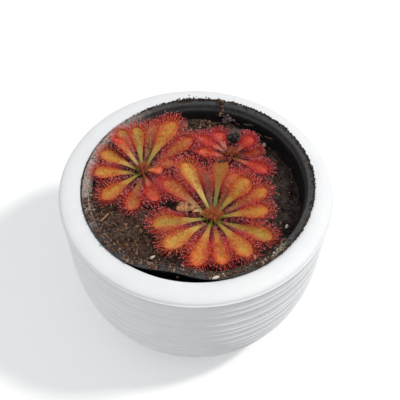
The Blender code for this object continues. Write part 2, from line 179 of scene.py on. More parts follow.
def turned(profile: Array, cols: int, shift: Optional[Callable[[Array, Array], Array]] = None) -> Shape:
    """A profile of (radius, z) turned about Z: x = r cos a, y = r sin a. Both its ends lie on the axis.

    Args:
        profile: (rows, 2) radius and height, from the bottom's middle out, up, over and back to the axis.
        cols: facets round the piece.
        shift: how far a point at (angle, z) moves outwards, for a piece that is out of round.

    Returns:
        The turned shape.
    """
    angle = np.arange(cols) * 2 * np.pi / cols
    radius, z = np.repeat(profile[1:-1, :1], cols, 1), np.repeat(profile[1:-1, 1:], cols, 1)
    if shift:
        radius = radius + shift(angle[None], z)
    rings = np.stack([radius * np.cos(angle), radius * np.sin(angle), z], axis=-1)
    first, last = np.array([[0, 0, profile[0, 1]]]), np.array([[0, 0, profile[-1, 1]]])
    return lofted(rings[None], first, last)


def arc(centre: tuple, radii: tuple, start: float, end: float, steps: int) -> Array:
    """Points of an ellipse arc: centre + (rx cos a, rz sin a), with a from start to end in degrees."""
    a = np.radians(np.linspace(start, end, steps + 1))
    return np.stack([centre[0] + radii[0] * np.cos(a), centre[1] + radii[1] * np.sin(a)], 1)


def tubes(lines: Array, radii: Array, cols: int, low: Array, high: Array, tip: float = 0.8) -> Shape:
    """Round tubes along lines: point + radius (cos a side + sin a up), side and up square to the line.

    Args:
        lines: (tubes, rows, 3) points along each tube.
        radii: (tubes, rows) radius at each point.
        cols: sides of each tube.
        low: (tubes, 2) lowest map corner of each tube.
        high: (tubes, 2) highest map corner of each tube.
        tip: how far the last pole stands out, in last radii.

    Returns:
        The tubes as one shape.
    """
    along = unit(np.gradient(lines, axis=1))
    reference = np.eye(3)[np.argmin(np.abs(along).mean(axis=1), axis=1)][:, None]
    side = unit(np.cross(reference, along))
    up = np.cross(along, side)
    a = (np.arange(cols) * 2 * np.pi / cols)[None, None, :, None]
    ring = np.cos(a) * side[:, :, None] + np.sin(a) * up[:, :, None]
    rings = lines[:, :, None] + radii[:, :, None, None] * ring
    last = lines[:, -1] + along[:, -1] * radii[:, -1:] * tip
    return lofted(rings, lines[:, 0], last, low, high)


def turns(rng: Random, count: int, tilt: float = 1.0) -> Array:
    """Random turns, from quaternions whose x and y parts are scaled by tilt.

    Args:
        rng: source of the quaternions.
        count: how many turns.
        tilt: how far they lean, 0 for turns about Z alone.

    Returns:
        (count, 3, 3) matrices.
    """
    q = rng.normal(size=(count, 4)) * (1, tilt, tilt, 1)
    w, x, y, z = unit(q).T
    rows = (
        (1 - 2 * (y * y + z * z), 2 * (x * y - z * w), 2 * (x * z + y * w)),
        (2 * (x * y + z * w), 1 - 2 * (x * x + z * z), 2 * (y * z - x * w)),
        (2 * (x * z - y * w), 2 * (y * z + x * w), 1 - 2 * (x * x + y * y)),
    )
    return np.moveaxis(np.array(rows), -1, 0)


def lumps(
    rng: Random, centres: Array, radii: Array, rough: float, tilt: float = 1.0, cols: int = 7, rows: int = 3
) -> Shape:
    """Rough balls: centre + turn (radii x (cos b cos a, cos b sin a, sin b) x (1 + rough noise)).

    Args:
        rng: source of the noise and the turns.
        centres: (lumps, 3) middles.
        radii: (lumps, 3) half sizes along each lump's own axes.
        rough: spread of the noise, as a share of the radius.
        tilt: how freely a lump leans, 0 for none.
        cols: points round a lump.
        rows: rings between its poles.

    Returns:
        The lumps as one shape; each fills its own narrow strip of the map.
    """
    count = len(centres)
    a = np.arange(cols) * 2 * np.pi / cols
    b = np.linspace(-np.pi / 2, np.pi / 2, rows + 2)[1:-1, None]
    ball = np.stack([np.cos(b) * np.cos(a), np.cos(b) * np.sin(a), np.sin(b) + 0 * a], axis=-1)
    noise = 1 + rough * rng.normal(size=(count, rows, cols, 1))
    turn = turns(rng, count, tilt)
    rings = np.einsum("nij,nrcj->nrci", turn, ball[None] * noise * radii[:, None, None])
    pole = np.einsum("nij,nj->ni", turn, radii * (0, 0, 1))
    strip = strips(rng.random(count) * 0.96)
    return lofted(rings + centres[:, None, None], centres - pole, centres + pole, *strip)


def waves(x: Array, y: Array, seed: int, shortest: float, longest: float, count: int = 40) -> Array:
    """Rolling ground: a sum of sine waves of random direction and phase, each as high as it is long.

    Args:
        x, y: places, of any one shape.
        seed: picks the waves.
        shortest: least wave length.
        longest: greatest wave length.
        count: how many waves.

    Returns:
        Heights of that shape, about 1 high.
    """
    rng = np.random.default_rng(seed)
    length = np.exp(rng.uniform(math.log(shortest), math.log(longest), count))
    heading, phase = rng.uniform(0, 2 * np.pi, (2, count))
    across = x[..., None] * np.cos(heading) + y[..., None] * np.sin(heading)
    angle = 2 * np.pi * across / length + phase
    return (np.sin(angle) * length).sum(axis=-1) / length.sum() * math.sqrt(count)


# ---------------------------------------------------------------- finishes


class Slot(Enum):
    """Material slots of the record."""

    GLAZE = "glaze"
    BLACK_PLASTIC = "black_plastic"
    PEAT = "peat"
    LEAF = "leaf"
    RED_LEAF = "red_leaf"
    CROWN = "crown"
    DEAD_LEAF = "dead_leaf"
    STRAW = "straw"


class Tree:
    """Shorthand for a node tree."""

    def __init__(self, tree: bpy.types.NodeTree) -> None:
        """Takes hold of the tree."""
        self.tree = tree

    def add(self, kind: str, inputs: Optional[dict] = None, **settings: str) -> bpy.types.Node:
        """A new node.

        Args:
            kind: Blender's name for the node type.
            inputs: what its inputs take, by name or number.
            **settings: attributes of the node.

        Returns:
            The node.
        """
        node = self.tree.nodes.new(kind)
        for name, value in settings.items():
            setattr(node, name, value)
        for name, value in (inputs or {}).items():
            self.feed(node.inputs[name], value)
        return node

    def feed(self, socket: Socket, value: Source) -> None:
        """Links an input to a source that is a socket too, or else sets it.

        Args:
            socket: the input.
            value: a node's output, a number, or a colour of three parts.
        """
        if isinstance(value, Socket):
            self.tree.links.new(value, socket)
        elif socket.type == "RGBA" and len(value) == 3:
            socket.default_value = (*value, 1.0)
        else:
            socket.default_value = value

    def maths(self, operation: str, a: Source, b: Source) -> Socket:
        """One sum on two values, under Blender's name for it."""
        return self.add("ShaderNodeMath", {0: a, 1: b}, operation=operation).outputs[0]

    def seen(self) -> tuple[Socket, Socket]:
        """Which rays show the background.

        Returns:
            1 for a ray straight from the camera, and 1 for that or one through glass or off a mirror.
        """
        path = self.add("ShaderNodeLightPath").outputs
        shown = self.maths("MAXIMUM", path["Is Camera Ray"], path["Is Transmission Ray"])
        return path["Is Camera Ray"], self.maths("MAXIMUM", shown, path["Is Glossy Ray"])


class Nodes(Tree):
    """The tree of one material, with its Principled shader and the Object coordinates."""

    def __init__(self, name: str) -> None:
        """Starts a material of this name.

        Args:
            name: the material's name.
        """
        self.material = bpy.data.materials.new(name)
        self.material.use_nodes = True
        super().__init__(self.material.node_tree)
        self.shader = self.tree.nodes["Principled BSDF"]
        self.place = self.add("ShaderNodeTexCoord").outputs["Object"]

    def set(self, **inputs: Source) -> None:
        """Sets or links inputs of the Principled shader, with _ for each space in a name."""
        for key, value in inputs.items():
            self.feed(self.shader.inputs[key.replace("_", " ")], value)

    def noise(
        self, size: float, detail: float = 3.0, roughness: float = 0.55, stretch: tuple = (1, 1, 1)
    ) -> Socket:
        """Cloudy noise.

        Args:
            size: size of its features, in mm.
            detail: octaves of finer noise on top.
            roughness: how strong those are.
            stretch: how far the features are drawn out along each axis.

        Returns:
            Its factor.
        """
        place = self.add("ShaderNodeVectorMath", {0: self.place, 1: stretch}, operation="DIVIDE").outputs[0]
        inputs = {"Vector": place, "Scale": 1 / (size * MM), "Detail": detail, "Roughness": roughness}
        return self.add("ShaderNodeTexNoise", inputs).outputs[0]

    def cells(self, size: float) -> Socket:
        """Distance from the nearest of random points about size mm apart."""
        inputs = {"Vector": self.place, "Scale": 1 / (size * MM)}
        return self.add("ShaderNodeTexVoronoi", inputs).outputs["Distance"]

    def ramp(self, value: Source, colours: Sequence[tuple[float, Colour]]) -> Socket:
        """Colour ramp.

        Args:
            value: place on the ramp, 0 to 1.
            colours: its stops, each a position and a linear colour.

        Returns:
            The colour there.
        """
        node = self.add("ShaderNodeValToRGB", {0: value})
        elements = node.color_ramp.elements
        while len(elements) < len(colours):
            elements.new(0.5)
        for element, (position, colour) in zip(elements, colours):
            element.position = position
            element.color = (*colour, 1.0)
        return node.outputs[0]

    def between(self, value: Source, low: float, high: float, *ends: float) -> Socket:
        """Maps low..high of value to its two ends, 0 and 1 if left out, and holds it there."""
        inputs = dict(enumerate((value, low, high, *(ends or (0.0, 1.0)))))
        return self.add("ShaderNodeMapRange", inputs).outputs[0]

    def mix(self, share: Source, a: Source, b: Source, blend: str = "MIX") -> Socket:
        """Colour a with share of colour b blended in."""
        inputs = {0: share, 6: a, 7: b}
        return self.add("ShaderNodeMix", inputs, data_type="RGBA", blend_type=blend).outputs[2]

    def bump(self, height: Source, depth: float, strength: float, under: Optional[Socket] = None) -> Socket:
        """Normal of a surface that is raised by height times depth.

        Args:
            height: 0 to 1.
            depth: greatest rise, in mm.
            strength: share of the effect.
            under: normal of a coarser bump that this one stands on.

        Returns:
            The normal.
        """
        inputs = {"Strength": strength, "Distance": depth * MM, "Height": height}
        if under is not None:
            inputs["Normal"] = under
        return self.add("ShaderNodeBump", inputs).outputs[0]

    def axis(self, name: str) -> Socket:
        """One of the Object coordinates, in metres."""
        return self.add("ShaderNodeSeparateXYZ", {0: self.place}).outputs[name]

    def map(self) -> Sequence[Socket]:
        """The u and v of the bake map."""
        place = self.add("ShaderNodeUVMap", uv_map=BAKE_MAP).outputs[0]
        return self.add("ShaderNodeSeparateXYZ", {0: place}).outputs[:2]

    def wet_and_shaded(self, colour: Source) -> Socket:
        """Soil's colour darkened towards the right, partly as wet soil and partly as painted shade from the
        pot's right wall; paler on the left and at the back.

        Args:
            colour: colour of the soil where the grey is 1.

        Returns:
            That colour times a grey that runs along X, and steps up at the back.
        """
        # painted shade and wet soil: darker towards the right, where the pot's right wall shades the ground;
        # paler at the back
        share = self.between(self.axis("X"), -0.03, 0.035, 1.15, 0.38)
        share = self.maths("ADD", share, self.between(self.axis("Y"), 0.026, 0.036, 0.0, 0.28))
        grey = self.add("ShaderNodeCombineColor", {0: share, 1: share, 2: share}).outputs[0]
        return self.mix(1.0, colour, grey, "MULTIPLY")


@dataclass(frozen=True)
class Finish:
    """A material and the record's slot that it belongs to."""

    name: str
    slot: Slot

    def dress(self, nodes: Nodes) -> None:
        """Builds the material's nodes."""
        raise NotImplementedError

    def material(self) -> bpy.types.Material:
        """Makes the material, once.

        Returns:
            The material.
        """
        made = bpy.data.materials.get(self.name)
        if made is None:
            nodes = Nodes(self.name)
            self.dress(nodes)
            made = nodes.material
        return made


@dataclass(frozen=True)
class MattGlaze(Finish):
    """White stoneware glaze: matt, finely pebbled, with one grey pinhole on the side."""

    pale: Colour = srgb(242, 243, 244)
    deep: Colour = srgb(238, 239, 242)
    speck: Colour = srgb(120, 116, 110)
    speck_at: tuple = (-37.5, -27.5, 50.0)
    speck_size: float = 0.55

    def dress(self, nodes: Nodes) -> None:
        """Cloudy white with a fine grain, broken where the pinhole is.

        Args:
            nodes: the material's nodes.
        """
        cloud = nodes.ramp(nodes.noise(9.0), ((0.35, self.deep), (0.65, self.pale)))
        ends = {0: nodes.place, 1: tuple(c * MM for c in self.speck_at)}
        apart = nodes.add("ShaderNodeVectorMath", ends, operation="DISTANCE")
        reach = self.speck_size * MM
        hole = nodes.between(apart.outputs["Value"], reach * 0.6, reach, 1.0, 0.0)
        nodes.set(Base_Color=nodes.mix(hole, cloud, self.speck))
        nodes.set(Roughness=nodes.between(nodes.noise(1.6), 0.3, 0.7, 0.46, 0.62))
        nodes.set(Normal=nodes.bump(nodes.noise(0.7, 4.0), 0.1, 0.45))


@dataclass(frozen=True)
class DustyPlastic(Finish):
    """Thin black plastic, scuffed and dusted with dried soil, most on its left side, with a painted
    reflection of the sky on its collar.
    """

    black: Colour = srgb(13, 15, 17)
    scuffed: Colour = srgb(27, 31, 33)
    # painted reflection of the sky on the rim and the wall above the ledge
    collar: Colour = srgb(46, 53, 55)
    dust: Colour = srgb(196, 174, 164)
    dusty: tuple = (-0.966, 0.259)  # heading of the dustiest side
    # heights where the painted sky reflection comes in
    edge: tuple = (67.7, 68.2)
    rim: float = 0.405  # the map's v where the outer wall meets the rim

    def dress(self, nodes: Nodes) -> None:
        """Black with scuffs and a greyer collar, whose bluish grey is a painted reflection of the sky, under
        dust that thins out from left to right.

        Args:
            nodes: the material's nodes.
        """
        base = nodes.ramp(nodes.noise(2.6, 5.0, 0.7), ((0.4, self.black), (0.7, self.scuffed)))
        # painted reflection of the sky: half the collar's bluish grey above the edge heights
        high = nodes.between(nodes.axis("Z"), self.edge[0] * MM, self.edge[1] * MM)
        base = nodes.mix(nodes.maths("MULTIPLY", high, 0.5), base, self.collar)
        along = nodes.maths("MULTIPLY", nodes.axis("X"), self.dusty[0])
        across = nodes.maths("MULTIPLY", nodes.axis("Y"), self.dusty[1])
        side = nodes.between(nodes.maths("ADD", along, across), 0.027, 0.043, 0.06, 1.0)
        grains = nodes.between(nodes.noise(0.8, 6.0, 0.75), 0.38, 0.6)
        open_side = nodes.between(nodes.map()[1], self.rim - 0.01, self.rim + 0.01)
        cover = nodes.maths("MULTIPLY", nodes.maths("MULTIPLY", grains, side), open_side)
        cover = nodes.maths("MULTIPLY", cover, nodes.maths("ADD", high, 0.3))
        base = nodes.mix(open_side, self.black, base)
        nodes.set(Base_Color=nodes.mix(cover, base, self.dust))
        nodes.set(Roughness=nodes.between(cover, 0.0, 0.6, 0.42, 0.85), Specular_IOR_Level=0.35)
        nodes.set(Normal=nodes.bump(nodes.noise(0.8, 5.0), 0.1, 0.5))


@dataclass(frozen=True)
class Peat(Finish):
    """Damp peat ground: near black, with brown crumbs and fibres."""

    ground: tuple = stops(
        (0.3, 26, 18, 16), (0.45, 54, 36, 29), (0.57, 86, 60, 48), (0.68, 122, 92, 74), (0.8, 44, 28, 22)
    )

    def dress(self, nodes: Nodes) -> None:
        """Patches of brown over black, roughened by crumbs and by short fibres along two headings.

        Args:
            nodes: the material's nodes.
        """
        # darkened towards the right, partly wet soil and partly painted shade
        nodes.set(Base_Color=nodes.wet_and_shaded(nodes.ramp(nodes.noise(1.5, 8.0, 0.75), self.ground)))
        nodes.set(Roughness=nodes.between(nodes.noise(5.0), 0.3, 0.7, 0.62, 0.95))
        crumbs = nodes.bump(nodes.noise(0.8, 6.0, 0.7), 0.5, 0.9)
        fibres = nodes.bump(nodes.noise(0.45, 2.0, 0.5, (6, 1, 1)), 0.2, 0.6, crumbs)
        nodes.set(Normal=nodes.bump(nodes.noise(0.45, 2.0, 0.5, (1, 6, 1)), 0.2, 0.6, fibres))


@dataclass(frozen=True)
class Strewn(Finish):
    """Many small pieces in one mesh, each with a colour of its own, which the map's u picks."""

    colours: tuple
    rough: float
    shaded_wet: bool = False
    # darkens the pieces towards the right, as wet soil and painted shade
    grain: float = 0.5

    def dress(self, nodes: Nodes) -> None:
        """Colour by u, slightly darker towards the first pole, with a fine grain.

        Args:
            nodes: the material's nodes.
        """
        u, v = nodes.map()
        shade = nodes.ramp(v, ((0.0, (0.62,) * 3), (0.6, (1.0,) * 3)))
        colour = nodes.mix(1.0, nodes.ramp(u, self.colours), shade, "MULTIPLY")
        # darker towards the right: wet soil and painted shade
        nodes.set(Base_Color=nodes.wet_and_shaded(colour) if self.shaded_wet else colour, Roughness=self.rough)
        nodes.set(Normal=nodes.bump(nodes.noise(self.grain, 4.0, 0.6), 0.12, 0.8))


@dataclass(frozen=True)
class LivingLeaf(Finish):
    """Waxy leaf skin: its colour is painted on the points, and mottled by cells."""

    gloss: float = 0.35
    mottle: tuple = ((0.35, (0.76, 0.73, 0.68)), (0.62, (0.95, 0.97, 0.98)))
    spots: tuple = ((0.14, (0.72, 0.44, 0.34)), (0.4, (1.04, 1.04, 0.94)))

    def dress(self, nodes: Nodes) -> None:
        """Painted tint, mottled darker and redder in spots, over a softly pebbled skin.

        Args:
            nodes: the material's nodes.
        """
        tint = nodes.add("ShaderNodeAttribute", attribute_name="tint").outputs
        mottle = nodes.ramp(nodes.noise(0.9, 4.0, 0.6), self.mottle)
        spots = nodes.ramp(nodes.cells(0.62), self.spots)
        painted = nodes.mix(1.0, tint["Color"], mottle, "MULTIPLY")
        painted = nodes.mix(tint["Alpha"], painted, spots, "MULTIPLY")
        nodes.set(Base_Color=painted, Subsurface_Weight=0.25, Subsurface_Scale=0.0012)
        nodes.set(Subsurface_Radius=(1.0, 0.45, 0.15), Specular_IOR_Level=0.5)
        nodes.set(Roughness=nodes.between(nodes.noise(1.2), 0.3, 0.7, self.gloss, self.gloss + 0.2))
        pebble = nodes.bump(nodes.cells(0.6), 0.12, 0.5)
        nodes.set(Normal=nodes.bump(nodes.noise(1.6), 0.2, 0.4, pebble))


@dataclass(frozen=True)
class GlandHair(Finish):
    """Tentacles: v runs from the leaf to the gland, and u from mauve hairs over red to orange ones."""

    # roots darker than tips, darkest at the mauve end of u: partly the tentacles' own colour, partly painted
    # shade deep among them
    root: tuple = stops((0.0, 84, 34, 32), (0.35, 180, 62, 48), (0.7, 228, 138, 62), (1.0, 226, 178, 88))
    tip: tuple = stops((0.0, 204, 98, 98), (0.35, 242, 52, 68), (0.7, 244, 80, 62), (1.0, 240, 140, 70))

    def dress(self, nodes: Nodes) -> None:
        """Runs along v from the root colour that u picks to the tip colour that it picks; the darker roots
        are partly painted shade deep among the tentacles.

        Args:
            nodes: the material's nodes.
        """
        u, v = nodes.map()
        along = nodes.between(v, 0.1, 0.7)
        nodes.set(Base_Color=nodes.mix(along, nodes.ramp(u, self.root), nodes.ramp(u, self.tip)))
        nodes.set(Roughness=nodes.between(v, 0.0, 1.0, 0.5, 0.25), Subsurface_Weight=0.2)
        nodes.set(Subsurface_Scale=0.0003, Subsurface_Radius=(1.0, 0.3, 0.2))


@dataclass(frozen=True)
class GlintDew(Finish):
    """Sticky drops with a blush from the gland inside, and a milky share that is a painted highlight for
    their glints.
    """

    colour: Colour = (1.0, 0.3, 0.33)

    def dress(self, nodes: Nodes) -> None:
        """Plain values: four tenths glass, the rest a milky tint that stands in for the glints as painted
        highlight.
        """
        nodes.set(Base_Color=self.colour, Roughness=0.08, IOR=1.36, Transmission_Weight=0.4)


@dataclass(frozen=True)
class Floor(Finish):
    """Plain pale studio floor, which the camera, mirrors and glass see as white outside the shadows."""

    colour: Colour = (0.84, 0.84, 0.84)
    bounce: Colour = (0.5, 0.5, 0.5)  # what the pot's walls get back from it
    glow: float = 0.26

    def dress(self, nodes: Nodes) -> None:
        """One pale colour, lifted to white for rays to the camera, straight or off a mirror or glass.

        Args:
            nodes: the material's nodes.
        """
        straight, seen = nodes.seen()
        colour = nodes.mix(straight, self.bounce, self.colour)
        nodes.set(Base_Color=colour, Roughness=0.9, Specular_IOR_Level=0.0)
        nodes.set(Emission_Color=WHITE, Emission_Strength=nodes.maths("MULTIPLY", seen, self.glow))


GLAZE = MattGlaze("matt_glaze", Slot.GLAZE)
PLASTIC = DustyPlastic("dusty_plastic", Slot.BLACK_PLASTIC)
PEAT = Peat("peat_ground", Slot.PEAT)
CLODS = Strewn("peat_clods", Slot.PEAT, stops(
    (0.0, 22, 15, 13), (0.3, 50, 33, 27), (0.55, 84, 56, 44),
    (0.78, 122, 82, 62), (0.93, 152, 112, 88), (1.0, 200, 166, 138),
), 0.9, True)
FIBRES = Strewn("peat_fibres", Slot.PEAT, stops(
    (0.0, 40, 26, 20), (0.35, 84, 56, 38), (0.65, 124, 88, 58), (0.85, 168, 130, 90), (1.0, 178, 148, 110)
), 0.75, True)
SPILL = Strewn("spilled_soil", Slot.PEAT, stops(
    (0.0, 34, 22, 18), (0.4, 76, 48, 36), (0.75, 118, 84, 66), (1.0, 178, 150, 130)
), 0.9)
DIRT = Strewn("rim_dirt", Slot.PEAT, stops((0.0, 16, 15, 14), (0.6, 40, 34, 28), (1.0, 86, 62, 46)), 0.9)
DRY_CLOD = Strewn("dry_clod", Slot.PEAT, stops((0.0, 66, 54, 54), (1.0, 120, 102, 100)), 0.9)
FLAKE = Strewn("dark_flake", Slot.PEAT, stops((0.0, 24, 16, 12), (1.0, 48, 30, 22)), 0.6)
CAKED = Strewn("caked_grit", Slot.STRAW, stops(
    (0.0, 104, 92, 78), (0.5, 176, 160, 136), (1.0, 222, 212, 192)
), 0.8)
MOULD = Strewn("mould", Slot.STRAW, stops((0.0, 78, 72, 68), (1.0, 176, 166, 156)), 0.8)
GRIT = Strewn("pale_grit", Slot.STRAW, stops((0.0, 170, 150, 122), (1.0, 236, 228, 214)), 0.55)
STRAW = Strewn("dry_straw", Slot.STRAW, stops((0.0, 176, 134, 84), (1.0, 222, 186, 132)), 0.6, grain=0.3)
LEAF = LivingLeaf("leaf_skin", Slot.LEAF)
RED_LEAF = LivingLeaf("red_leaf_skin", Slot.RED_LEAF)
CROWN = LivingLeaf("crown_skin", Slot.CROWN, 0.45)
DEAD_LEAF = LivingLeaf("dead_leaf_skin", Slot.DEAD_LEAF, 0.7)
# crown hairs: the slightly darker roots are partly painted shade deep in the heart
BROWN_ROOTS = stops((0.0, 150, 76, 40), (1.0, 190, 116, 60))
BROWN_TIPS = stops((0.0, 190, 84, 44), (1.0, 216, 128, 70))
HAIR = {
    Slot.LEAF: GlandHair("leaf_hairs", Slot.LEAF),
    Slot.RED_LEAF: GlandHair("red_leaf_hairs", Slot.RED_LEAF),
    Slot.CROWN: GlandHair("crown_hairs", Slot.CROWN, BROWN_ROOTS, BROWN_TIPS),
}
# drops whose milky share is a painted highlight for their glints
PALE_GLINT_DEW = GlintDew("pale_glint_dew", Slot.LEAF, (1.0, 0.44, 0.44))
GLINT_DEW = {
    Slot.LEAF: GlintDew("leaf_glint_dew", Slot.LEAF),
    Slot.RED_LEAF: GlintDew("red_leaf_glint_dew", Slot.RED_LEAF, (1.0, 0.24, 0.28)),
}


def add_piece(
    name: str, shape: Shape, finish: Finish, stands_for: Sequence[str] = (), crumbly: bool = False
) -> bpy.types.Object:
    """Makes a piece that rides on the frame.

    Args:
        name: name of the piece.
        shape: its mesh, in mm.
        finish: its material and slot.
        stands_for: CAD nodes that it replaces.
        crumbly: leaves its faces flat instead of smoothing them.

    Returns:
        The new object.
    """
    mesh = bpy.data.meshes.new(name)
    mesh.vertices.add(len(shape.points))
    mesh.vertices.foreach_set("co", (shape.points * MM).astype(np.float32).ravel())
    mesh.loops.add(len(shape.corners))
    mesh.loops.foreach_set("vertex_index", shape.corners.astype(np.int32))
    mesh.polygons.add(len(shape.sizes))
    starts = np.concatenate([[0], np.cumsum(shape.sizes)[:-1]])
    mesh.polygons.foreach_set("loop_start", starts.astype(np.int32))
    mesh.update(calc_edges=True)
    mesh.uv_layers.new(name=BAKE_MAP).data.foreach_set("uv", shape.uv.astype(np.float32).ravel())
    if shape.tint is not None:
        tint = mesh.attributes.new("tint", "FLOAT_COLOR", "POINT")
        tint.data.foreach_set("color", shape.tint.astype(np.float32).ravel())
    if not crumbly:
        mesh.shade_smooth()
    mesh.materials.append(finish.material())
    piece = bpy.data.objects.new(name, mesh)
    bpy.context.scene.collection.objects.link(piece)
    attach(piece, BODY)
    if stands_for:
        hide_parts(*stands_for)
    LOG.info("%s: %d triangles, %s", name, (shape.sizes - 2).sum(), finish.name)
    return piece


# ---------------------------------------------------------------- pots


@dataclass
class Cachepot:
    """White bowl with a rolled lip, fine turned ribs and a foot ring."""

    height: float = 70.0
    radius: float = 53.2
    hole_radius: float = 44.4
    wall: float = 5.0
    floor_top: float = 5.0
    floor_radius: float = 34.5
    hole_depth: float = 9.0  # how far down the hole is straight
    shoulder_depth: float = 25.7
    shoulder_radius: float = 52.1
    bowl_radius: float = 30.5
    bowl_bottom: float = 1.6
    foot_outer: float = 32.0
    foot_inner: float = 27.0
    foot_recess: float = 1.2
    lip_crest: float = 45.0
    lip_inner_drop: float = 0.7
    lip_outer_drop: float = 2.6
    edge: float = 0.6  # bevel of the foot ring
    rib_depths: tuple = (3.1, 9.0, 12.6, 19.1, 24.1, 26.9, 31.2, 35.8, 39.4, 44.5, 48.5, 53.0)
    rib_half: float = 0.36
    rib_height: float = 0.26
    first_rib: float = 0.5  # the one just under the lip stands out this far
    rib_stations: int = 7
    inner_depths: tuple = (16.0, 22.0, 28.0, 35.0, 42.0, 48.0, 54.0, 60.0)
    cols: int = 160

    def wall_radius(self, depth: Array) -> Array:
        """Outer radius below the lip: a cone to the shoulder, then a quarter ellipse in to the foot.

        Args:
            depth: distance below the lip's top.

        Returns:
            The radius at each depth.
        """
        cone = self.radius + (self.shoulder_radius - self.radius) * depth / self.shoulder_depth
        bowl = self.height - self.bowl_bottom - self.shoulder_depth
        share = np.clip((depth - self.shoulder_depth) / bowl, 0, 1)
        ellipse = self.bowl_radius + (self.shoulder_radius - self.bowl_radius) * np.sqrt(1 - share * share)
        return np.where(depth < self.shoulder_depth, cone, ellipse)

    def outside(self) -> Array:
        """The ribbed wall: at distance d from its middle, a rib adds its height (1 + cos(pi d / half)) / 2.

        Returns:
            (rows, 2) radius and height, from the foot up.
        """
        ribs = np.array(self.rib_depths)
        offsets = np.linspace(-self.rib_half, self.rib_half, self.rib_stations)
        plain = np.linspace(ribs[-1] + 2, self.height - self.bowl_bottom - 0.4, 9)
        depth = np.sort(np.concatenate([(ribs[:, None] + offsets).ravel(), plain]))[::-1]
        away = np.abs(depth[:, None] - ribs).min(axis=1)
        ridge = np.where(away < self.rib_half, 0.5 + 0.5 * np.cos(np.pi * away / self.rib_half), 0)
        tall = np.where(depth < ribs[0] + 1, self.first_rib, self.rib_height)
        radius = self.wall_radius(depth) - self.first_rib + tall * ridge
        return np.stack([radius, self.height - depth], 1)

    def profile(self) -> Array:
        """Foot, wall, lip, hole, inner wall and floor; the lip is two quarter ellipses about its crest.

        Returns:
            (rows, 2) radius and height.
        """
        inside, outside, edge = self.foot_inner, self.foot_outer, self.edge
        foot = [(0, self.foot_recess), (inside, self.foot_recess), (inside + edge, 0)]
        foot += [(outside - edge, 0), (outside, edge), (outside, self.bowl_bottom)]
        crest, width = self.lip_crest, self.radius - self.first_rib - self.lip_crest
        outer = arc((crest, self.height - self.lip_outer_drop), (width, self.lip_outer_drop), 15, 90, 14)
        hole = (crest - self.hole_radius, self.lip_inner_drop)
        inner = arc((crest, self.height - self.lip_inner_drop), hole, 90, 180, 9)[1:]
        depth = np.array(self.inner_depths)
        bowl = np.stack([self.wall_radius(depth) - self.wall, self.height - depth], 1)
        straight = [(self.hole_radius, self.height - self.hole_depth)]
        floor = [(self.floor_radius, self.floor_top), (0, self.floor_top)]
        return np.concatenate([foot, self.outside(), outer, inner, straight, bowl, floor])

    def build(self) -> None:
        """Adds the pot."""
        add_piece("cachepot_body", turned(self.profile(), self.cols), GLAZE, ["cachepot"])


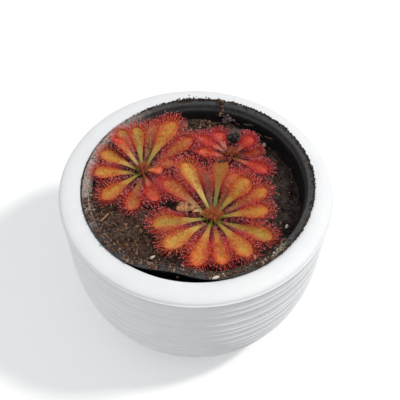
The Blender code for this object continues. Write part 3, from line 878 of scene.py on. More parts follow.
@dataclass
class NurseryPot:
    """Thin black grow pot, a little oval, dented at the front, with soil along its rim.

    Azimuths are in degrees, anticlockwise from +X.
    """

    offset: float = 1.0
    bottom: float = 5.3
    top: float = 71.0
    rim_radius: float = 44.8
    rim_thickness: float = 0.7
    band: float = 2.3  # width of the rim's flat top
    wall: float = 0.8
    collar_top: float = 42.7
    collar_bottom: float = 42.1
    collar_height: float = 9.0
    collar_step: float = 1.2
    step_ease: float = 0.4
    ledge: float = 68.0  # height of a narrow ledge inside the collar
    ledge_width: float = 0.35
    foot_radius: float = 31.5
    drain_holes: int = 8
    drain_radius: float = 3.5
    drain_circle: float = 23.0
    dent_depth: float = 3.2
    dent_azimuth: float = -102.0
    dent_spread: float = 15.0
    oval_depth: float = 0.7
    oval_azimuth: float = 50.0
    true_below: float = 45.0
    cols: int = 180
    crumbs: int = 900
    crumbs_azimuth: float = 35.0  # where they lie thickest
    spill_count: int = 4200
    spill_azimuths: tuple = (-168, -50)
    heap_count: int = 2200
    heap_azimuths: tuple = (-172, -38)
    heap_width: float = 1.9
    heap_drop: float = 3.6
    cake_count: int = 46
    cake_azimuth: float = 78.5
    cake_bottom: float = 65.4
    tufts: tuple = ((98, 2.4, 90), (88, 7, 60))  # azimuth, spread and count
    grit_count: int = 80
    grit_azimuth: float = -45.5

    def out_of_round(self, angle: Array, z: Array) -> Array:
        """How far the wall lies outside its circle: an oval of cos 2a less a bell-shaped dent.

        Args:
            angle: where round the pot, in radians.
            z: height; the shift fades out down the wall.

        Returns:
            The shift, in mm.
        """
        away = (np.degrees(angle) - self.dent_azimuth + 180) % 360 - 180
        oval = self.oval_depth * np.cos(2 * (angle - math.radians(self.oval_azimuth)))
        dent = self.dent_depth * np.exp(-((away / self.dent_spread) ** 2))
        return (oval - dent) * smooth(z, self.true_below, self.top)

    def radius(self, z: Array) -> Array:
        """Outer radius of the wall: a tapered body, and a wider collar above the step.

        Args:
            z: height.

        Returns:
            The radius there.
        """
        z = np.asarray(z, float)
        step = self.top - self.collar_height
        flare = self.collar_top - self.collar_bottom
        collar = self.collar_bottom + flare * (z - step) / self.collar_height
        narrow = self.collar_bottom - self.collar_step
        body = self.foot_radius + (narrow - self.foot_radius) * (z - self.bottom) / (step - self.bottom)
        return np.where(z >= step, collar, body)

    def profile(self) -> Array:
        """Floor, outer wall, step, collar, rolled rim, and back down the inside.

        Returns:
            (rows, 2) radius and height.
        """
        step = self.top - self.collar_height
        low = np.linspace(self.bottom + 0.8, step - 1, 9)
        rim_bottom = self.top - self.rim_thickness
        collar = np.linspace(step, rim_bottom - 0.3, 5)
        outside = [(0, self.bottom), (self.foot_radius - 0.8, self.bottom)]
        outside += list(zip(self.radius(low), low)) + list(zip(self.radius(collar), collar))
        outside.append((self.collar_top + 0.3, rim_bottom))
        bead = self.rim_thickness / 2
        rim = arc((self.rim_radius - bead, self.top - bead), (bead, bead), -90, 90, 6)
        inner = self.rim_radius - self.band
        lip = [(inner, self.top), (inner - 0.3, self.top - 0.15)]
        over = np.array([self.top - 1.2, self.ledge + 0.25])
        down = np.linspace(self.ledge, step + self.step_ease, 4)
        under = np.linspace(step - 1 - self.step_ease, self.bottom + self.wall, 8)
        inside = list(zip(self.radius(over) - self.wall, over))
        inside += list(zip(self.radius(down) - self.wall - self.ledge_width, down))
        inside += list(zip(self.radius(under) - self.wall, under))
        return np.concatenate([outside, rim, lip, inside, [(0, self.bottom + self.wall)]])

    def drilled(self, pot: bpy.types.Object) -> None:
        """Cuts the drain holes, evenly round their circle, and applies the cuts.

        Args:
            pot: the pot's piece.
        """
        angle = (np.arange(self.drain_holes) + 0.5) * 2 * np.pi / self.drain_holes
        low, high, r = self.bottom - 1, self.bottom + self.wall + 1, self.drain_radius
        plug = turned(np.array([(0, low), (r, low), (r, high), (0, high)]), 20)
        places = self.around(angle, self.drain_circle, 0 * angle)
        shifted = [Shape(plug.points + place, plug.corners, plug.sizes, plug.uv) for place in places]
        cutter = add_piece("drain_cutter", Shape.joined(shifted), PLASTIC)
        cut = pot.modifiers.new("drain", "BOOLEAN")
        cut.object = cutter
        cut.solver = "EXACT"
        graph = bpy.context.evaluated_depsgraph_get()
        mesh = bpy.data.meshes.new_from_object(pot.evaluated_get(graph))
        pot.modifiers.clear()
        pot.data = mesh
        bpy.data.objects.remove(cutter)

    def around(self, angle: Array, radius: Array, z: Array) -> Array:
        """Points at radius and height z about the pot's axis: (offset + r cos a, r sin a, z)."""
        return np.stack([self.offset + radius * np.cos(angle), radius * np.sin(angle), z], -1)

    def on_rim(self, angle: Array, inset: Array, z: Array) -> Array:
        """Points at height z, inset from the rim's outer edge as it really runs."""
        return self.around(angle, self.rim_radius - inset + self.out_of_round(angle, self.top), z)

    def rim_crumbs(self) -> Shape:
        """Crumbs of soil on the rim's outer edge, thick at the back and right and thin at the front left.

        Returns:
            The crumbs.
        """
        rng = np.random.default_rng(11)
        angle = rng.uniform(0, 2 * np.pi, 3 * self.crumbs)
        dense = 0.1 + 0.9 * smooth(np.cos(angle - math.radians(self.crumbs_azimuth)), -0.25, 0.5)
        angle = angle[rng.random(len(angle)) < dense][: self.crumbs]
        count = len(angle)
        size = rng.uniform(0.18, 0.5, count) * (1 + 0.6 * (rng.random(count) > 0.93))
        inset = rng.exponential(0.35, count)
        centres = self.on_rim(angle, inset, self.top + size * rng.uniform(-0.6, 0.5, count))
        return lumps(rng, centres, size[:, None] * rng.uniform(0.65, 1.15, (count, 3)), 0.2, cols=6, rows=2)

    def spilled(self, rng: Random) -> Array:
        """Places of the soil on the front of the rim, in patches that reach over its inner edge.

        Args:
            rng: source of the scatter.

        Returns:
            (n, 3) places.
        """
        angle = np.radians(rng.uniform(*self.spill_azimuths, self.spill_count))
        inset = rng.uniform(0.35, 2.9, len(angle))
        patch = waves(46 * np.cos(angle), 46 * np.sin(angle), 6, 2.5, 9.0, 14)
        kept = rng.random(len(angle)) < smooth(patch + 0.6 * (inset - 1.3), -0.6, 0.2)
        angle, inset = angle[kept], inset[kept]
        z = self.top + rng.uniform(-0.15, 0.2, len(angle)) - 1.0 * smooth(inset, 1.8, 2.6)
        return self.on_rim(angle, inset, z)

    def heaped(self, rng: Random) -> Array:
        """Places of the soil heaped inside the front of the collar, sloping down and inwards.

        Args:
            rng: source of the scatter.

        Returns:
            (n, 3) places.
        """
        angle = np.radians(rng.uniform(*self.heap_azimuths, self.heap_count))
        away = rng.uniform(0, 1, len(angle)) ** 1.3
        radius = self.collar_top - self.wall - 0.1 - self.heap_width * away
        z = self.top - 0.3 - self.heap_drop * away + rng.normal(0, 0.15, len(angle))
        return self.around(angle, radius + self.out_of_round(angle, self.top), z)

    def caked(self, rng: Random) -> Array:
        """Places of the soil that has caked on the inside of the collar, below the crumb at the back.

        Args:
            rng: source of the scatter.

        Returns:
            (n, 3) places.
        """
        angle = np.radians(rng.normal(self.cake_azimuth, 1.1, self.cake_count))
        z = rng.uniform(self.cake_bottom, self.top + 0.3, len(angle))
        radius = self.collar_top - self.wall - 0.3 + 0.5 * (z - self.ledge) / 3
        return self.around(angle, radius + self.out_of_round(angle, z), z)

    def spill(self) -> Shape:
        """Soil spilled over the front of the rim, heaped inside it, and caked inside the back.

        Returns:
            The soil, as many small lumps.
        """
        rng = np.random.default_rng(12)
        front = np.concatenate([self.spilled(rng), self.heaped(rng)])
        back = self.caked(rng)
        fine = rng.gamma(3.0, 0.07, len(front)) + 0.08
        size = np.concatenate([fine, rng.uniform(0.35, 0.75, len(back))])
        radii = size[:, None] * rng.uniform(0.6, 1.2, (len(size), 3)) * (1, 1, 0.8)
        return lumps(rng, np.concatenate([front, back]), radii, 0.2, cols=6, rows=2)

    def pale_cake(self) -> Shape:
        """Pale grit caked on the front right of the rim.

        Returns:
            The grit.
        """
        rng = np.random.default_rng(14)
        count = self.grit_count
        angle = np.radians(rng.normal(self.grit_azimuth, 3.2, count))
        inset = rng.uniform(0.5, 2.4, count)
        centres = self.on_rim(angle, inset, self.top + rng.uniform(0, 0.25, count))
        radii = rng.uniform(0.12, 0.42, (count, 1)) * rng.uniform(0.6, 1.3, (count, 3)) * (1, 1, 0.7)
        return lumps(rng, centres, radii, 0.25, cols=6, rows=2)

    def moss(self) -> Shape:
        """Small dark tufts on the back of the rim.

        Returns:
            The tufts.
        """
        rng = np.random.default_rng(13)
        angle = np.radians(np.concatenate([rng.normal(*tuft) for tuft in self.tufts]))
        inset = rng.uniform(0.0, 1.4, len(angle))
        centres = self.on_rim(angle, inset, self.top + rng.exponential(0.4, len(angle)))
        return lumps(rng, centres, rng.uniform(0.15, 0.4, (len(angle), 3)), 0.25, cols=6, rows=2)

    def build(self) -> None:
        """Adds the pot and its crumbs."""
        shape = turned(self.profile(), self.cols, self.out_of_round)
        shape.points[:, 0] += self.offset
        pot = add_piece("nursery_pot_shell", shape, PLASTIC, ["nursery_pot"])
        self.drilled(pot)
        add_piece("rim_crumbs", self.rim_crumbs(), DIRT, crumbly=True)
        add_piece("rim_moss", self.moss(), DIRT, crumbly=True)
        add_piece("spilled_soil", self.spill(), SPILL, crumbly=True)
        add_piece("caked_grit", self.pale_cake(), CAKED, crumbly=True)


# ---------------------------------------------------------------- soil


@dataclass
class Soil:
    """Peat that slopes up to the front left, strewn with clods, fibres, flakes and grit."""

    pot: NurseryPot
    low: float = 60.6
    rise: float = 5.6
    high_azimuth: float = -139.0
    bump: float = 0.35
    gap: float = 0.5
    cols: int = 260
    rings: int = 120
    relief: float = 0.55
    reach: float = 40.2  # how far out loose pieces lie
    small_clods: int = 3600
    large_clods: int = 1700
    fibres: int = 2000
    loose_slivers: int = 900
    grains: int = 130
    clod: tuple = (15.3, 26.9, 68.0)  # middle of the mouldy clod
    clod_size: float = 2.4
    clod_lumps: int = 34
    threads: int = 120
    far_clod: tuple = (11.9, 37.8, 65.9)  # middle of the dry one behind it
    far_lumps: int = 26
    bank: float = 1.5  # how far the soil is heaped against the back wall
    slivers: tuple = (  # slivers stuck to the wall: middle, heading and length
        ((16.3, 36.9, 65.0), (0.8, -0.5, 0.1), 2.6),
        ((20.6, 34.9, 66.6), (0.8, -0.45, 0.25), 4.5),
        ((25.6, 31.0, 64.9), (0.7, -0.7, 0), 3.0),
        ((29.0, 28.0, 66.5), (0.6, -0.7, 0.3), 4.5),
    )

    def height(self, x: Array, y: Array) -> Array:
        """Ground height: low + rise (0.5 + 0.5 across)^1.3, soft bumps, and a bank against the back wall.

        Args:
            x, y: places on the ground.

        Returns:
            The height at each.
        """
        x = x - self.pot.offset
        high = math.radians(self.high_azimuth)
        across = (x * math.cos(high) + y * math.sin(high)) / self.pot.collar_bottom
        slope = self.rise * np.maximum(0, 0.5 + 0.5 * across) ** 1.3
        bumps = np.sin(0.55 * x + 1.1) * np.cos(0.48 * y) + np.sin(0.31 * y - 0.4 * x)
        heaped = self.bank * smooth(np.hypot(x, y), 34, 40) * smooth(y - 0.35 * x, 20, 32)
        return self.low + slope + self.bump * bumps + heaped

    def ground(self) -> Shape:
        """The body of soil: a side inside the pot's wall, and a top of rings whose height is the ground's.

        The top adds relief x rolling waves, which fade out at the pot's wall.

        Returns:
            The closed body.
        """
        pot = self.pot
        angle = np.arange(self.cols) * 2 * np.pi / self.cols
        inset = pot.wall + self.gap
        step = pot.top - pot.collar_height
        levels = np.array([pot.bottom + pot.wall + 0.3, 33.0, 48.0, 56.0, step - 1.6])
        side_r = (pot.radius(levels) - inset)[:, None] + pot.out_of_round(angle[None], levels[:, None])
        side_z = np.repeat(levels[:, None], self.cols, 1)
        rim = pot.radius(step) - inset + pot.out_of_round(angle, step)
        share = 1 - np.linspace(0, 1, self.rings, endpoint=False)[:, None] ** 1.1
        top_r = rim[None] * share
        x, y = pot.offset + top_r * np.cos(angle), top_r * np.sin(angle)
        fade = smooth(rim[None] - top_r, 0, 2)
        top_z = self.height(x, y) + self.relief * fade * waves(x, y, 5, 1.4, 9.0, 60)
        radius, z = np.concatenate([side_r, top_r]), np.concatenate([side_z, top_z])
        middle = float(self.height(np.array(pot.offset), np.array(0.0)))
        first, last = np.array([[pot.offset, 0, levels[0]]]), np.array([[pot.offset, 0, middle]])
        return lofted(pot.around(angle, radius, z)[None], first, last)

    def places(self, rng: Random, count: int, crowd: Callable[[Array, Array], Array]) -> Array:
        """Random places on the ground, kept with the chance that crowd gives them.

        Args:
            rng: source of the places.
            count: how many to try.
            crowd: chance from 0 to 1 at x, y.

        Returns:
            (n, 3) points on the ground.
        """
        radius = self.reach * np.sqrt(rng.random(count))
        angle = rng.uniform(0, 2 * np.pi, count)
        x, y = self.pot.offset + radius * np.cos(angle), radius * np.sin(angle)
        keep = rng.random(count) < crowd(x, y)
        x, y = x[keep], y[keep]
        return np.stack([x, y, self.height(x, y)], 1)

    def clods(self) -> Shape:
        """Crumbs and clods: small ones everywhere, larger ones where no rosette covers the ground.

        Returns:
            The crumbs and clods.
        """
        rng = np.random.default_rng(21)
        small = self.places(rng, self.small_clods, lambda x, y: 0.8 + 0 * x)
        large = self.places(rng, self.large_clods, lambda x, y: 0.9 * open_ground(x, y))
        small_size = rng.uniform(0.2, 0.5, len(small))
        large_size = np.minimum(rng.gamma(2.0, 0.16, len(large)) + 0.25, 1.1)
        centres = np.concatenate([small, large])
        size = np.concatenate([small_size, large_size])
        centres[:, 2] += size * 0.25
        radii = size[:, None] * rng.uniform(0.5, 1.4, (len(size), 3)) * (1, 1, 0.75)
        return lumps(rng, centres, radii, 0.32, cols=6)

    def strands(self) -> Shape:
        """Fibres on the ground: p(t) = middle + t length heading + bow (1 - 4t^2) aside, |t| up to 1/2.

        Returns:
            The fibres, most of them on open ground at the front left.
        """
        rng = np.random.default_rng(31)
        base = self.places(rng, self.fibres, littered)
        count = len(base)
        heading = rng.uniform(0, 2 * np.pi, count)
        length = rng.gamma(4.0, 0.6, count) + 0.7
        t = np.linspace(-0.5, 0.5, 6)
        ahead = np.stack([np.cos(heading), np.sin(heading)], 1)[:, None]
        aside = np.stack([-np.sin(heading), np.cos(heading)], 1)[:, None]
        bow = (rng.normal(0, 0.17, count) * length)[:, None, None] * (1 - 4 * t * t)[None, :, None]
        flat = base[:, None, :2] + ahead * (t * length[:, None])[..., None] + aside * bow
        reach = np.hypot(flat[..., 0] - self.pot.offset, flat[..., 1])
        shrink = np.minimum(1, self.reach / reach)[..., None]
        flat = (flat - (self.pot.offset, 0)) * shrink + (self.pot.offset, 0)
        lift = 0.35 + rng.exponential(0.35, count)[:, None] * (1 - 4 * t * t)
        lift = lift + rng.normal(0, 0.12, (count, 6))
        z = self.height(flat[..., 0], flat[..., 1]) + lift
        lines = np.concatenate([flat, z[..., None]], axis=-1)
        radii = rng.uniform(0.05, 0.13, count)[:, None] * (1 - 0.8 * t * t)
        return tubes(lines, radii, 4, *strips(rng.random(count) * 0.96))

    def dry_clod(self) -> Shape:
        """A greyish clod of many small lumps, lodged between the mouldy one and the pot's wall.

        Returns:
            The clod.
        """
        rng = np.random.default_rng(52)
        parts = np.array(self.far_clod) + rng.normal(0, 1, (self.far_lumps, 3)) * (1.1, 0.7, 0.8)
        return lumps(rng, parts, rng.uniform(0.4, 1.1, parts.shape), 0.22, cols=8, rows=4)

    def bark(self) -> Shape:
        """Slivers of bark behind the back rosette and on the wall: p(t) = middle + t length heading.

        Returns:
            The slivers, as rods that taper to both ends.
        """
        rng = np.random.default_rng(61)
        loose = self.places(rng, self.loose_slivers, behind)
        loose[:, 2] += 0.5
        stuck, stuck_ahead, stuck_length = (np.array(part) for part in zip(*self.slivers))
        middle = np.concatenate([loose, stuck])
        count = len(middle)
        heading = rng.uniform(-0.7, 0.7, count)
        length = np.concatenate([rng.uniform(0.9, 2.6, len(loose)), stuck_length])
        t = np.linspace(-0.5, 0.5, 5)[None, :, None]
        ahead = np.stack([np.cos(heading), np.sin(heading), rng.normal(0, 0.2, count)], 1)[:, None]
        ahead[-len(stuck) :] = unit(stuck_ahead)[:, None]
        lines = middle[:, None] + ahead * t * length[:, None, None] + rng.normal(0, 0.09, (count, 5, 3))
        thick = np.minimum(rng.uniform(0.16, 0.5, count), length * 0.3)
        radii = thick[:, None] * (1 - 1.6 * t[0, :, 0] ** 2) * rng.uniform(0.75, 1.2, (count, 5))
        return tubes(lines, radii, 6, *strips(rng.uniform(0.3, 0.94, count), foot=0.6))

    def grit(self) -> Shape:
        """Pale grains of sand here and there.

        Returns:
            The grains.
        """
        rng = np.random.default_rng(41)
        centres = self.places(rng, self.grains, lambda x, y: 0.3 + 0.6 * open_ground(x, y))
        size = rng.uniform(0.12, 0.32, len(centres))
        centres[:, 2] += 0.35 + size
        radii = size[:, None] * rng.uniform(0.7, 1.2, (len(size), 3))
        return lumps(rng, centres, radii, 0.15, cols=6, rows=2)

    def mouldy_clod(self) -> tuple[Shape, Shape]:
        """A dark clod behind the back rosette: p(t) = start + out t + bend t^2 for a thread on it.

        Returns:
            The clod and its grey threads.
        """
        rng = np.random.default_rng(51)
        size, count, middle = self.clod_size, self.threads, np.array(self.clod)
        parts = middle + rng.normal(0, 0.36 * size, (self.clod_lumps, 3))
        parts[::3] += (0, 0.6, -2.6)
        clod = lumps(rng, parts, size * rng.uniform(0.3, 0.55, parts.shape), 0.2, cols=9, rows=5)
        out = unit(rng.normal(size=(count, 3)) * (0.8, 0.6, 0.5) + (0, 0.3, 0.95))
        t = np.linspace(0, 1, 4)[None, :, None]
        start = middle + out * size * 0.8
        bend = rng.normal(0, 0.35, (count, 1, 3))
        length = rng.uniform(0.7, 1.5, (count, 1, 1))
        threads = start[:, None] + (out[:, None] * t + bend * t * t) * length
        strip = strips(rng.random(count) * 0.96)
        return clod, tubes(threads, np.full((count, 4), 0.045), 3, *strip)

    def build(self) -> None:
        """Adds the ground and what lies on it."""
        add_piece("peat_body", self.ground(), PEAT, ["soil"])
        add_piece("peat_crumbs", self.clods(), CLODS, crumbly=True)
        add_piece("peat_strands", self.strands(), FIBRES)
        add_piece("bark_slivers", self.bark(), CLODS)
        add_piece("sand_grains", self.grit(), GRIT)
        clod, threads = self.mouldy_clod()
        add_piece("mouldy_clod", clod, DIRT, crumbly=True)
        add_piece("dry_clod", self.dry_clod(), DRY_CLOD, crumbly=True)
        add_piece("mould_threads", threads, MOULD)


def open_ground(x: Array, y: Array) -> Array:
    """How open the ground is.

    Args:
        x, y: places on the ground.

    Returns:
        1 where no rosette covers it, 0 under one.
    """
    clear = np.ones(np.shape(x))
    for rosette in ROSETTES:
        apart = np.hypot(x - rosette.x, y - rosette.y)
        clear = np.minimum(clear, smooth(apart, rosette.spread * 0.75, rosette.spread * 1.05))
    return clear


def littered(x: Array, y: Array) -> Array:
    """How thickly fibres lie, 0 to 1: most on open ground at the front left."""
    return (0.15 + 0.85 * smooth(-(x + y), 25, 45)) * (0.25 + 0.75 * open_ground(x, y))


def behind(x: Array, y: Array) -> Array:
    """1 on the ground behind the back rosette, 0 elsewhere."""
    return smooth(y, 27, 33) * smooth(x, -16, -4) * smooth(-x, -36, -26)


# ---------------------------------------------------------------- plants


@dataclass(frozen=True)
class Tone:
    """Colours of a leaf: its stalk, its blade and its margin, and how orange its hairs are, 0 to 1."""

    stalk: Colour
    blade: Colour
    margin: Colour
    foot: Colour  # at the very base
    warmth: float
    blush: float = 0.1  # share of the length, from the tip back, that has the margin's colour


def tone(stalk: tuple, blade: tuple, margin: tuple, *rest: float, foot: tuple = (112, 132, 48)) -> Tone:
    """A tone from its colours' display values; rest holds its warmth and its blush."""
    return Tone(srgb(*stalk), srgb(*blade), srgb(*margin), srgb(*foot), *rest)


class Tones(Enum):
    """The named leaf colourings."""

    OLIVE = tone((168, 146, 60), (182, 148, 56), (206, 112, 46), 0.6)
    AMBER = tone((174, 144, 58), (206, 148, 54), (222, 100, 46), 0.55)
    GOLD = tone((200, 168, 78), (214, 168, 72), (226, 122, 54), 0.7)
    UMBER = tone((124, 142, 52), (172, 110, 24), (184, 72, 20), 0.6)
    RUST = tone((166, 120, 58), (190, 116, 50), (218, 80, 50), 0.42)
    # painted shade: a darkened tone for leaves that lie in shade
    SHADED = tone((118, 94, 42), (150, 78, 44), (184, 70, 50), 0.35)
    SCARLET = tone((186, 98, 70), (214, 86, 58), (232, 44, 50), 0.3, foot=(150, 84, 58))
    PEACH = tone((190, 92, 68), (228, 114, 76), (236, 78, 60), 0.4, foot=(150, 84, 58))
    WINE = tone((120, 62, 42), (112, 52, 40), (140, 48, 44), 0.25, foot=(100, 50, 36))
    EMBER = tone((190, 142, 62), (224, 142, 52), (236, 88, 50), 0.55)
    CORAL = tone((238, 152, 100), (242, 134, 82), (240, 78, 62), 0.5, foot=(220, 130, 80))
    TIPPED = tone((184, 156, 76), (196, 124, 56), (226, 40, 44), 0.45, 0.3)
    SHOOT = tone((184, 112, 54), (190, 100, 46), (160, 66, 36), 0.6, foot=(170, 100, 50))
    RUSSET = tone((160, 86, 50), (150, 68, 40), (140, 52, 36), 0.45, foot=(130, 70, 40))
    STRAWY = tone((216, 180, 110), (200, 146, 106), (132, 80, 56), 0.5, foot=(200, 160, 96))


@dataclass(frozen=True)
class HairRow:
    """A row of tentacles along a leaf's outline."""

    inset: float  # share of the half width in from the edge
    per_mm: float  # hairs per mm of outline
    lift: float  # degrees above the blade
    length: float  # mm on a blade 7 mm wide


HAIR_ROWS = (
    HairRow(0.02, 2.4, 4, 3.7),
    HairRow(0.08, 2.2, 26, 2.9),
    HairRow(0.26, 1.8, 44, 2.1),
    HairRow(0.46, 1.5, 52, 1.5),
)


@dataclass(frozen=True)
class Leaf:
    """One leaf: where it points, how far it reaches, and its blade, in the CAD's terms."""

    azimuth: float  # degrees, anticlockwise from +X
    reach: float  # level distance from the crown's axis to the tip
    rise: float  # height of the tip above the base
    blade: float  # width of the blade
    tone: Tones
    tier: int = 0  # whorl that it grows from
    arch: float = 0.6  # how far its middle stands above the straight line
    sway: float = 0.0  # how far its middle bends sideways
    roll: float = 0.0  # degrees that the blade turns about its length
    cup: float = 0.5  # how far its edges curl up
    taper: float = 1.5  # 1 for a plain wedge, 2 and over for a blade on a thin stalk
    hairs: float = 1.0  # how thick its tentacles stand
    fringe: float = 1.0  # how long they are

    stalk: float = 1.3  # width at the base
    widest: float = 0.8
    flesh: float = 0.9  # share of the blade's width that is not fringe
    tier_rise: float = 1.25
    thickness: float = 0.34
    hair_start: float = 0.32  # where the outline's tentacles begin, from 0 at the base to 1 at the tip
    face_hairs: float = 19.0  # short ones over the blade, per mm of its width
    stalk_hairs: float = 2.6  # sparse ones along the stalk, per mm of the leaf's reach
    gland: float = 0.24  # length of a tentacle's thick end
    long: float = 1.4  # shortest tentacle with four sides and dew

    def half_width(self, s: Array) -> Array:
        """Half width at s, 0 at the base and 1 at the tip.

        It swells from the stalk's width as sin^2 of a quarter turn of (s / widest)^taper, then ends as an
        ellipse.

        Args:
            s: places along the leaf.

        Returns:
            The half width at each, in mm.
        """
        swell = np.sin(np.clip(s / self.widest, 0, 1) ** self.taper * np.pi / 2) ** 2
        past = np.clip((s - self.widest) / (1 - self.widest), 0, 0.995)
        blade = self.blade * self.flesh
        return (self.stalk + (blade - self.stalk) * swell) * np.sqrt(1 - past * past) / 2

    def frame(self, s: Array, start: float) -> tuple[Array, ...]:
        """Centre line and axes at s.

        The centre moves out from start to reach, and its bulge 4s(1 - s) lifts it by the arch and bends it
        by the sway. The blade turns about its length by roll x s.

        Args:
            s: (n,) places along the leaf.
            start: distance of its base from the crown's axis.

        Returns:
            Centre, along, level and normal, each (n, 3), and the half width, (n,).
        """
        turn = math.radians(self.azimuth)
        out = np.array([math.cos(turn), math.sin(turn), 0.0])
        side = np.array([-out[1], out[0], 0.0])
        s = np.asarray(s, float)[:, None]
        bulge, slope = 4 * s * (1 - s), 4 * (1 - 2 * s)
        centre = out * (start + (self.reach - start) * s) + side * self.sway * bulge
        centre[:, 2:] = self.tier * self.tier_rise + self.rise * s + self.arch * bulge
        along = out * (self.reach - start) + side * self.sway * slope
        along[:, 2:] = self.rise + self.arch * slope
        along = unit(along)
        a = np.radians(self.roll) * s
        level = side * np.cos(a) - np.cross(along, side) * np.sin(a)
        normal = unit(np.cross(along, level))
        return centre, along, level, normal, self.half_width(s[:, 0])

    def lift(self, half: Array, x: Array) -> Array:
        """How far the skin stands up at x across: edges curl up by cup x^2 where the blade is widest."""
        return self.cup * half / (self.blade / 2) * x * x

    def paint(self, s: Array, x: Array, top: Array) -> Array:
        """Colour of the skin: stalk to blade along the leaf, margin at its edges and tip, a painted
        highlight down the stalk's middle, and a quarter darker on its lower face.

        Args:
            s: places along the leaf, 0 at the base and 1 at the tip.
            x: places across it, -1 to 1.
            top: 1 on its upper face and -1 on its lower.

        Returns:
            The linear colour and the share of blade at each, in four columns.
        """
        tone = self.tone.value
        s, x, top = (np.asarray(a)[..., None] for a in (s, x, top))
        rim = smooth(np.abs(x), 0.35, 1.0) * smooth(s, 0.25, 0.6)
        rim = np.maximum(rim, smooth(s, 1 - tone.blush, 1 - tone.blush / 2) * (0.6 + tone.blush))
        body = np.asarray(tone.stalk) + (np.asarray(tone.blade) - tone.stalk) * smooth(s, 0.1, 0.72)
        body = tone.foot + (body - tone.foot) * smooth(s, 0.0, 0.3)
        # painted highlight: a paler line down the middle of the stalk
        rib = smooth(1 - np.abs(x), 0.7, 1.0) * (1 - smooth(s, 0.3, 0.85)) * 0.25
        body = body + (np.asarray(tone.stalk) * 1.15 - body) * rib
        colour = body + (np.asarray(tone.margin) - body) * rim * 0.85
        # a quarter darker on the lower face
        colour = colour * (0.75 + 0.25 * smooth(top, -0.3, 0.3))
        return np.concatenate([colour, smooth(s, 0.2, 0.7)], axis=-1)

    def skin(self, start: float, rows: int = 30, cols: int = 18) -> Shape:
        """The leaf's body: along its centre, sections of level half cos a + normal (thickness sin a + lift).

        Args:
            start: distance of its base from the crown's axis.
            rows: sections along it.
            cols: points round a section.

        Returns:
            The painted body.
        """
        s = 1 - (1 - np.linspace(0, 1, rows)) ** 1.5
        centre, _, level, normal, half = self.frame(s, start)
        a = np.arange(cols) * 2 * np.pi / cols
        x, up = np.cos(a)[None, :, None], np.sin(a)[None, :, None]
        thick = self.thickness * (0.75 + 0.25 * np.clip(half / half.max(), 0, 1))[:, None, None]
        half = half[:, None, None]
        across = level[:, None] * half * x
        rings = centre[:, None] + across + normal[:, None] * (thick * up + self.lift(half, x))
        shape = lofted(rings[None], centre[:1], centre[-1:])
        grid_s, grid_x = np.repeat(s[:, None], cols, 1), np.repeat(np.cos(a)[None], rows, 0)
        grid_up = np.repeat(np.sin(a)[None], rows, 0)
        ends = [self.paint(np.array([e]), np.array([0.0]), np.array([0.0])) for e in (0.0, 1.0)]
        shape.tint = np.concatenate([self.paint(grid_s, grid_x, grid_up).reshape(-1, 4), *ends])
        return shape

    def outline(self, start: float, count: int, inset: float, rng: Random) -> tuple[Array, Array]:
        """Evenly spaced places round the outline, up one side and down the other.

        Args:
            start: distance of the leaf's base from the crown's axis.
            count: how many places.
            inset: share of the half width in from the edge.
            rng: source of the jitter.

        Returns:
            s and x of each place.
        """
        dense = np.linspace(self.hair_start, 0.995, 120)
        s = np.concatenate([dense, dense[::-1]])
        side = np.repeat([1.0, -1.0], len(dense)) * (1 - inset)
        centre, _, level, _, half = self.frame(s, start)
        edge = centre + level * (half * side)[:, None]
        run = np.concatenate([[0], np.cumsum(np.linalg.norm(np.diff(edge, axis=0), axis=1))])
        at = (np.arange(count) + rng.uniform(0.1, 0.9, count)) / count * run[-1]
        return np.interp(at, run, s), np.interp(at, run, side)

    def outline_length(self, start: float) -> float:
        """Length of the part of the outline that carries tentacles, round the tip and back.

        Args:
            start: distance of the leaf's base from the crown's axis.

        Returns:
            The length, in mm.
        """
        dense = np.linspace(self.hair_start, 1, 60)
        centre, _, level, _, half = self.frame(dense, start)
        edge = centre + level * half[:, None]
        return 2 * float(np.linalg.norm(np.diff(edge, axis=0), axis=1).sum())

    def hair_places(self, start: float, rng: Random) -> tuple[Array, ...]:
        """Where tentacles stand: rows round the outline, and short ones over the blade and the stalk.

        Args:
            start: distance of the leaf's base from the crown's axis.
            rng: source of the scatter.

        Returns:
            s, x, lift in degrees and length in mm of each tentacle.
        """
        size = (0.45 + 0.55 * self.blade / 7) * self.fringe
        run = self.outline_length(start)
        found = []
        for row in HAIR_ROWS:
            count = max(3, int(run * row.per_mm * self.hairs))
            s, x = self.outline(start, count, row.inset, rng)
            kept = rng.random(count) < smooth(s, self.hair_start, 0.56)
            s, x = s[kept], x[kept]
            grown = 0.4 + 0.6 * smooth(s, 0.42, 0.75)
            length = row.length * size * grown * rng.uniform(0.8, 1.12, len(s))
            found.append((s, x, row.lift + rng.normal(0, 7, len(s)), length))
        s = 1 - 0.62 * np.sqrt(rng.uniform(0.008, 1, int(self.face_hairs * self.blade * self.hairs)))
        s = s[rng.random(len(s)) < smooth(s, 0.38, 0.64)]
        count = len(s)
        x = rng.uniform(-0.72, 0.72, count)
        found.append((s, x, rng.uniform(68, 90, count), rng.uniform(0.7, 1.3, count) * size))
        count = int(self.reach * self.stalk_hairs * self.hairs)
        s = rng.uniform(0.1, 0.5, count)
        x = rng.choice([-1.0, 1.0], count)
        found.append((s, x, rng.uniform(-35, 25, count), rng.uniform(1.2, 2.6, count) * size))
        return tuple(np.concatenate(part) for part in zip(*found))

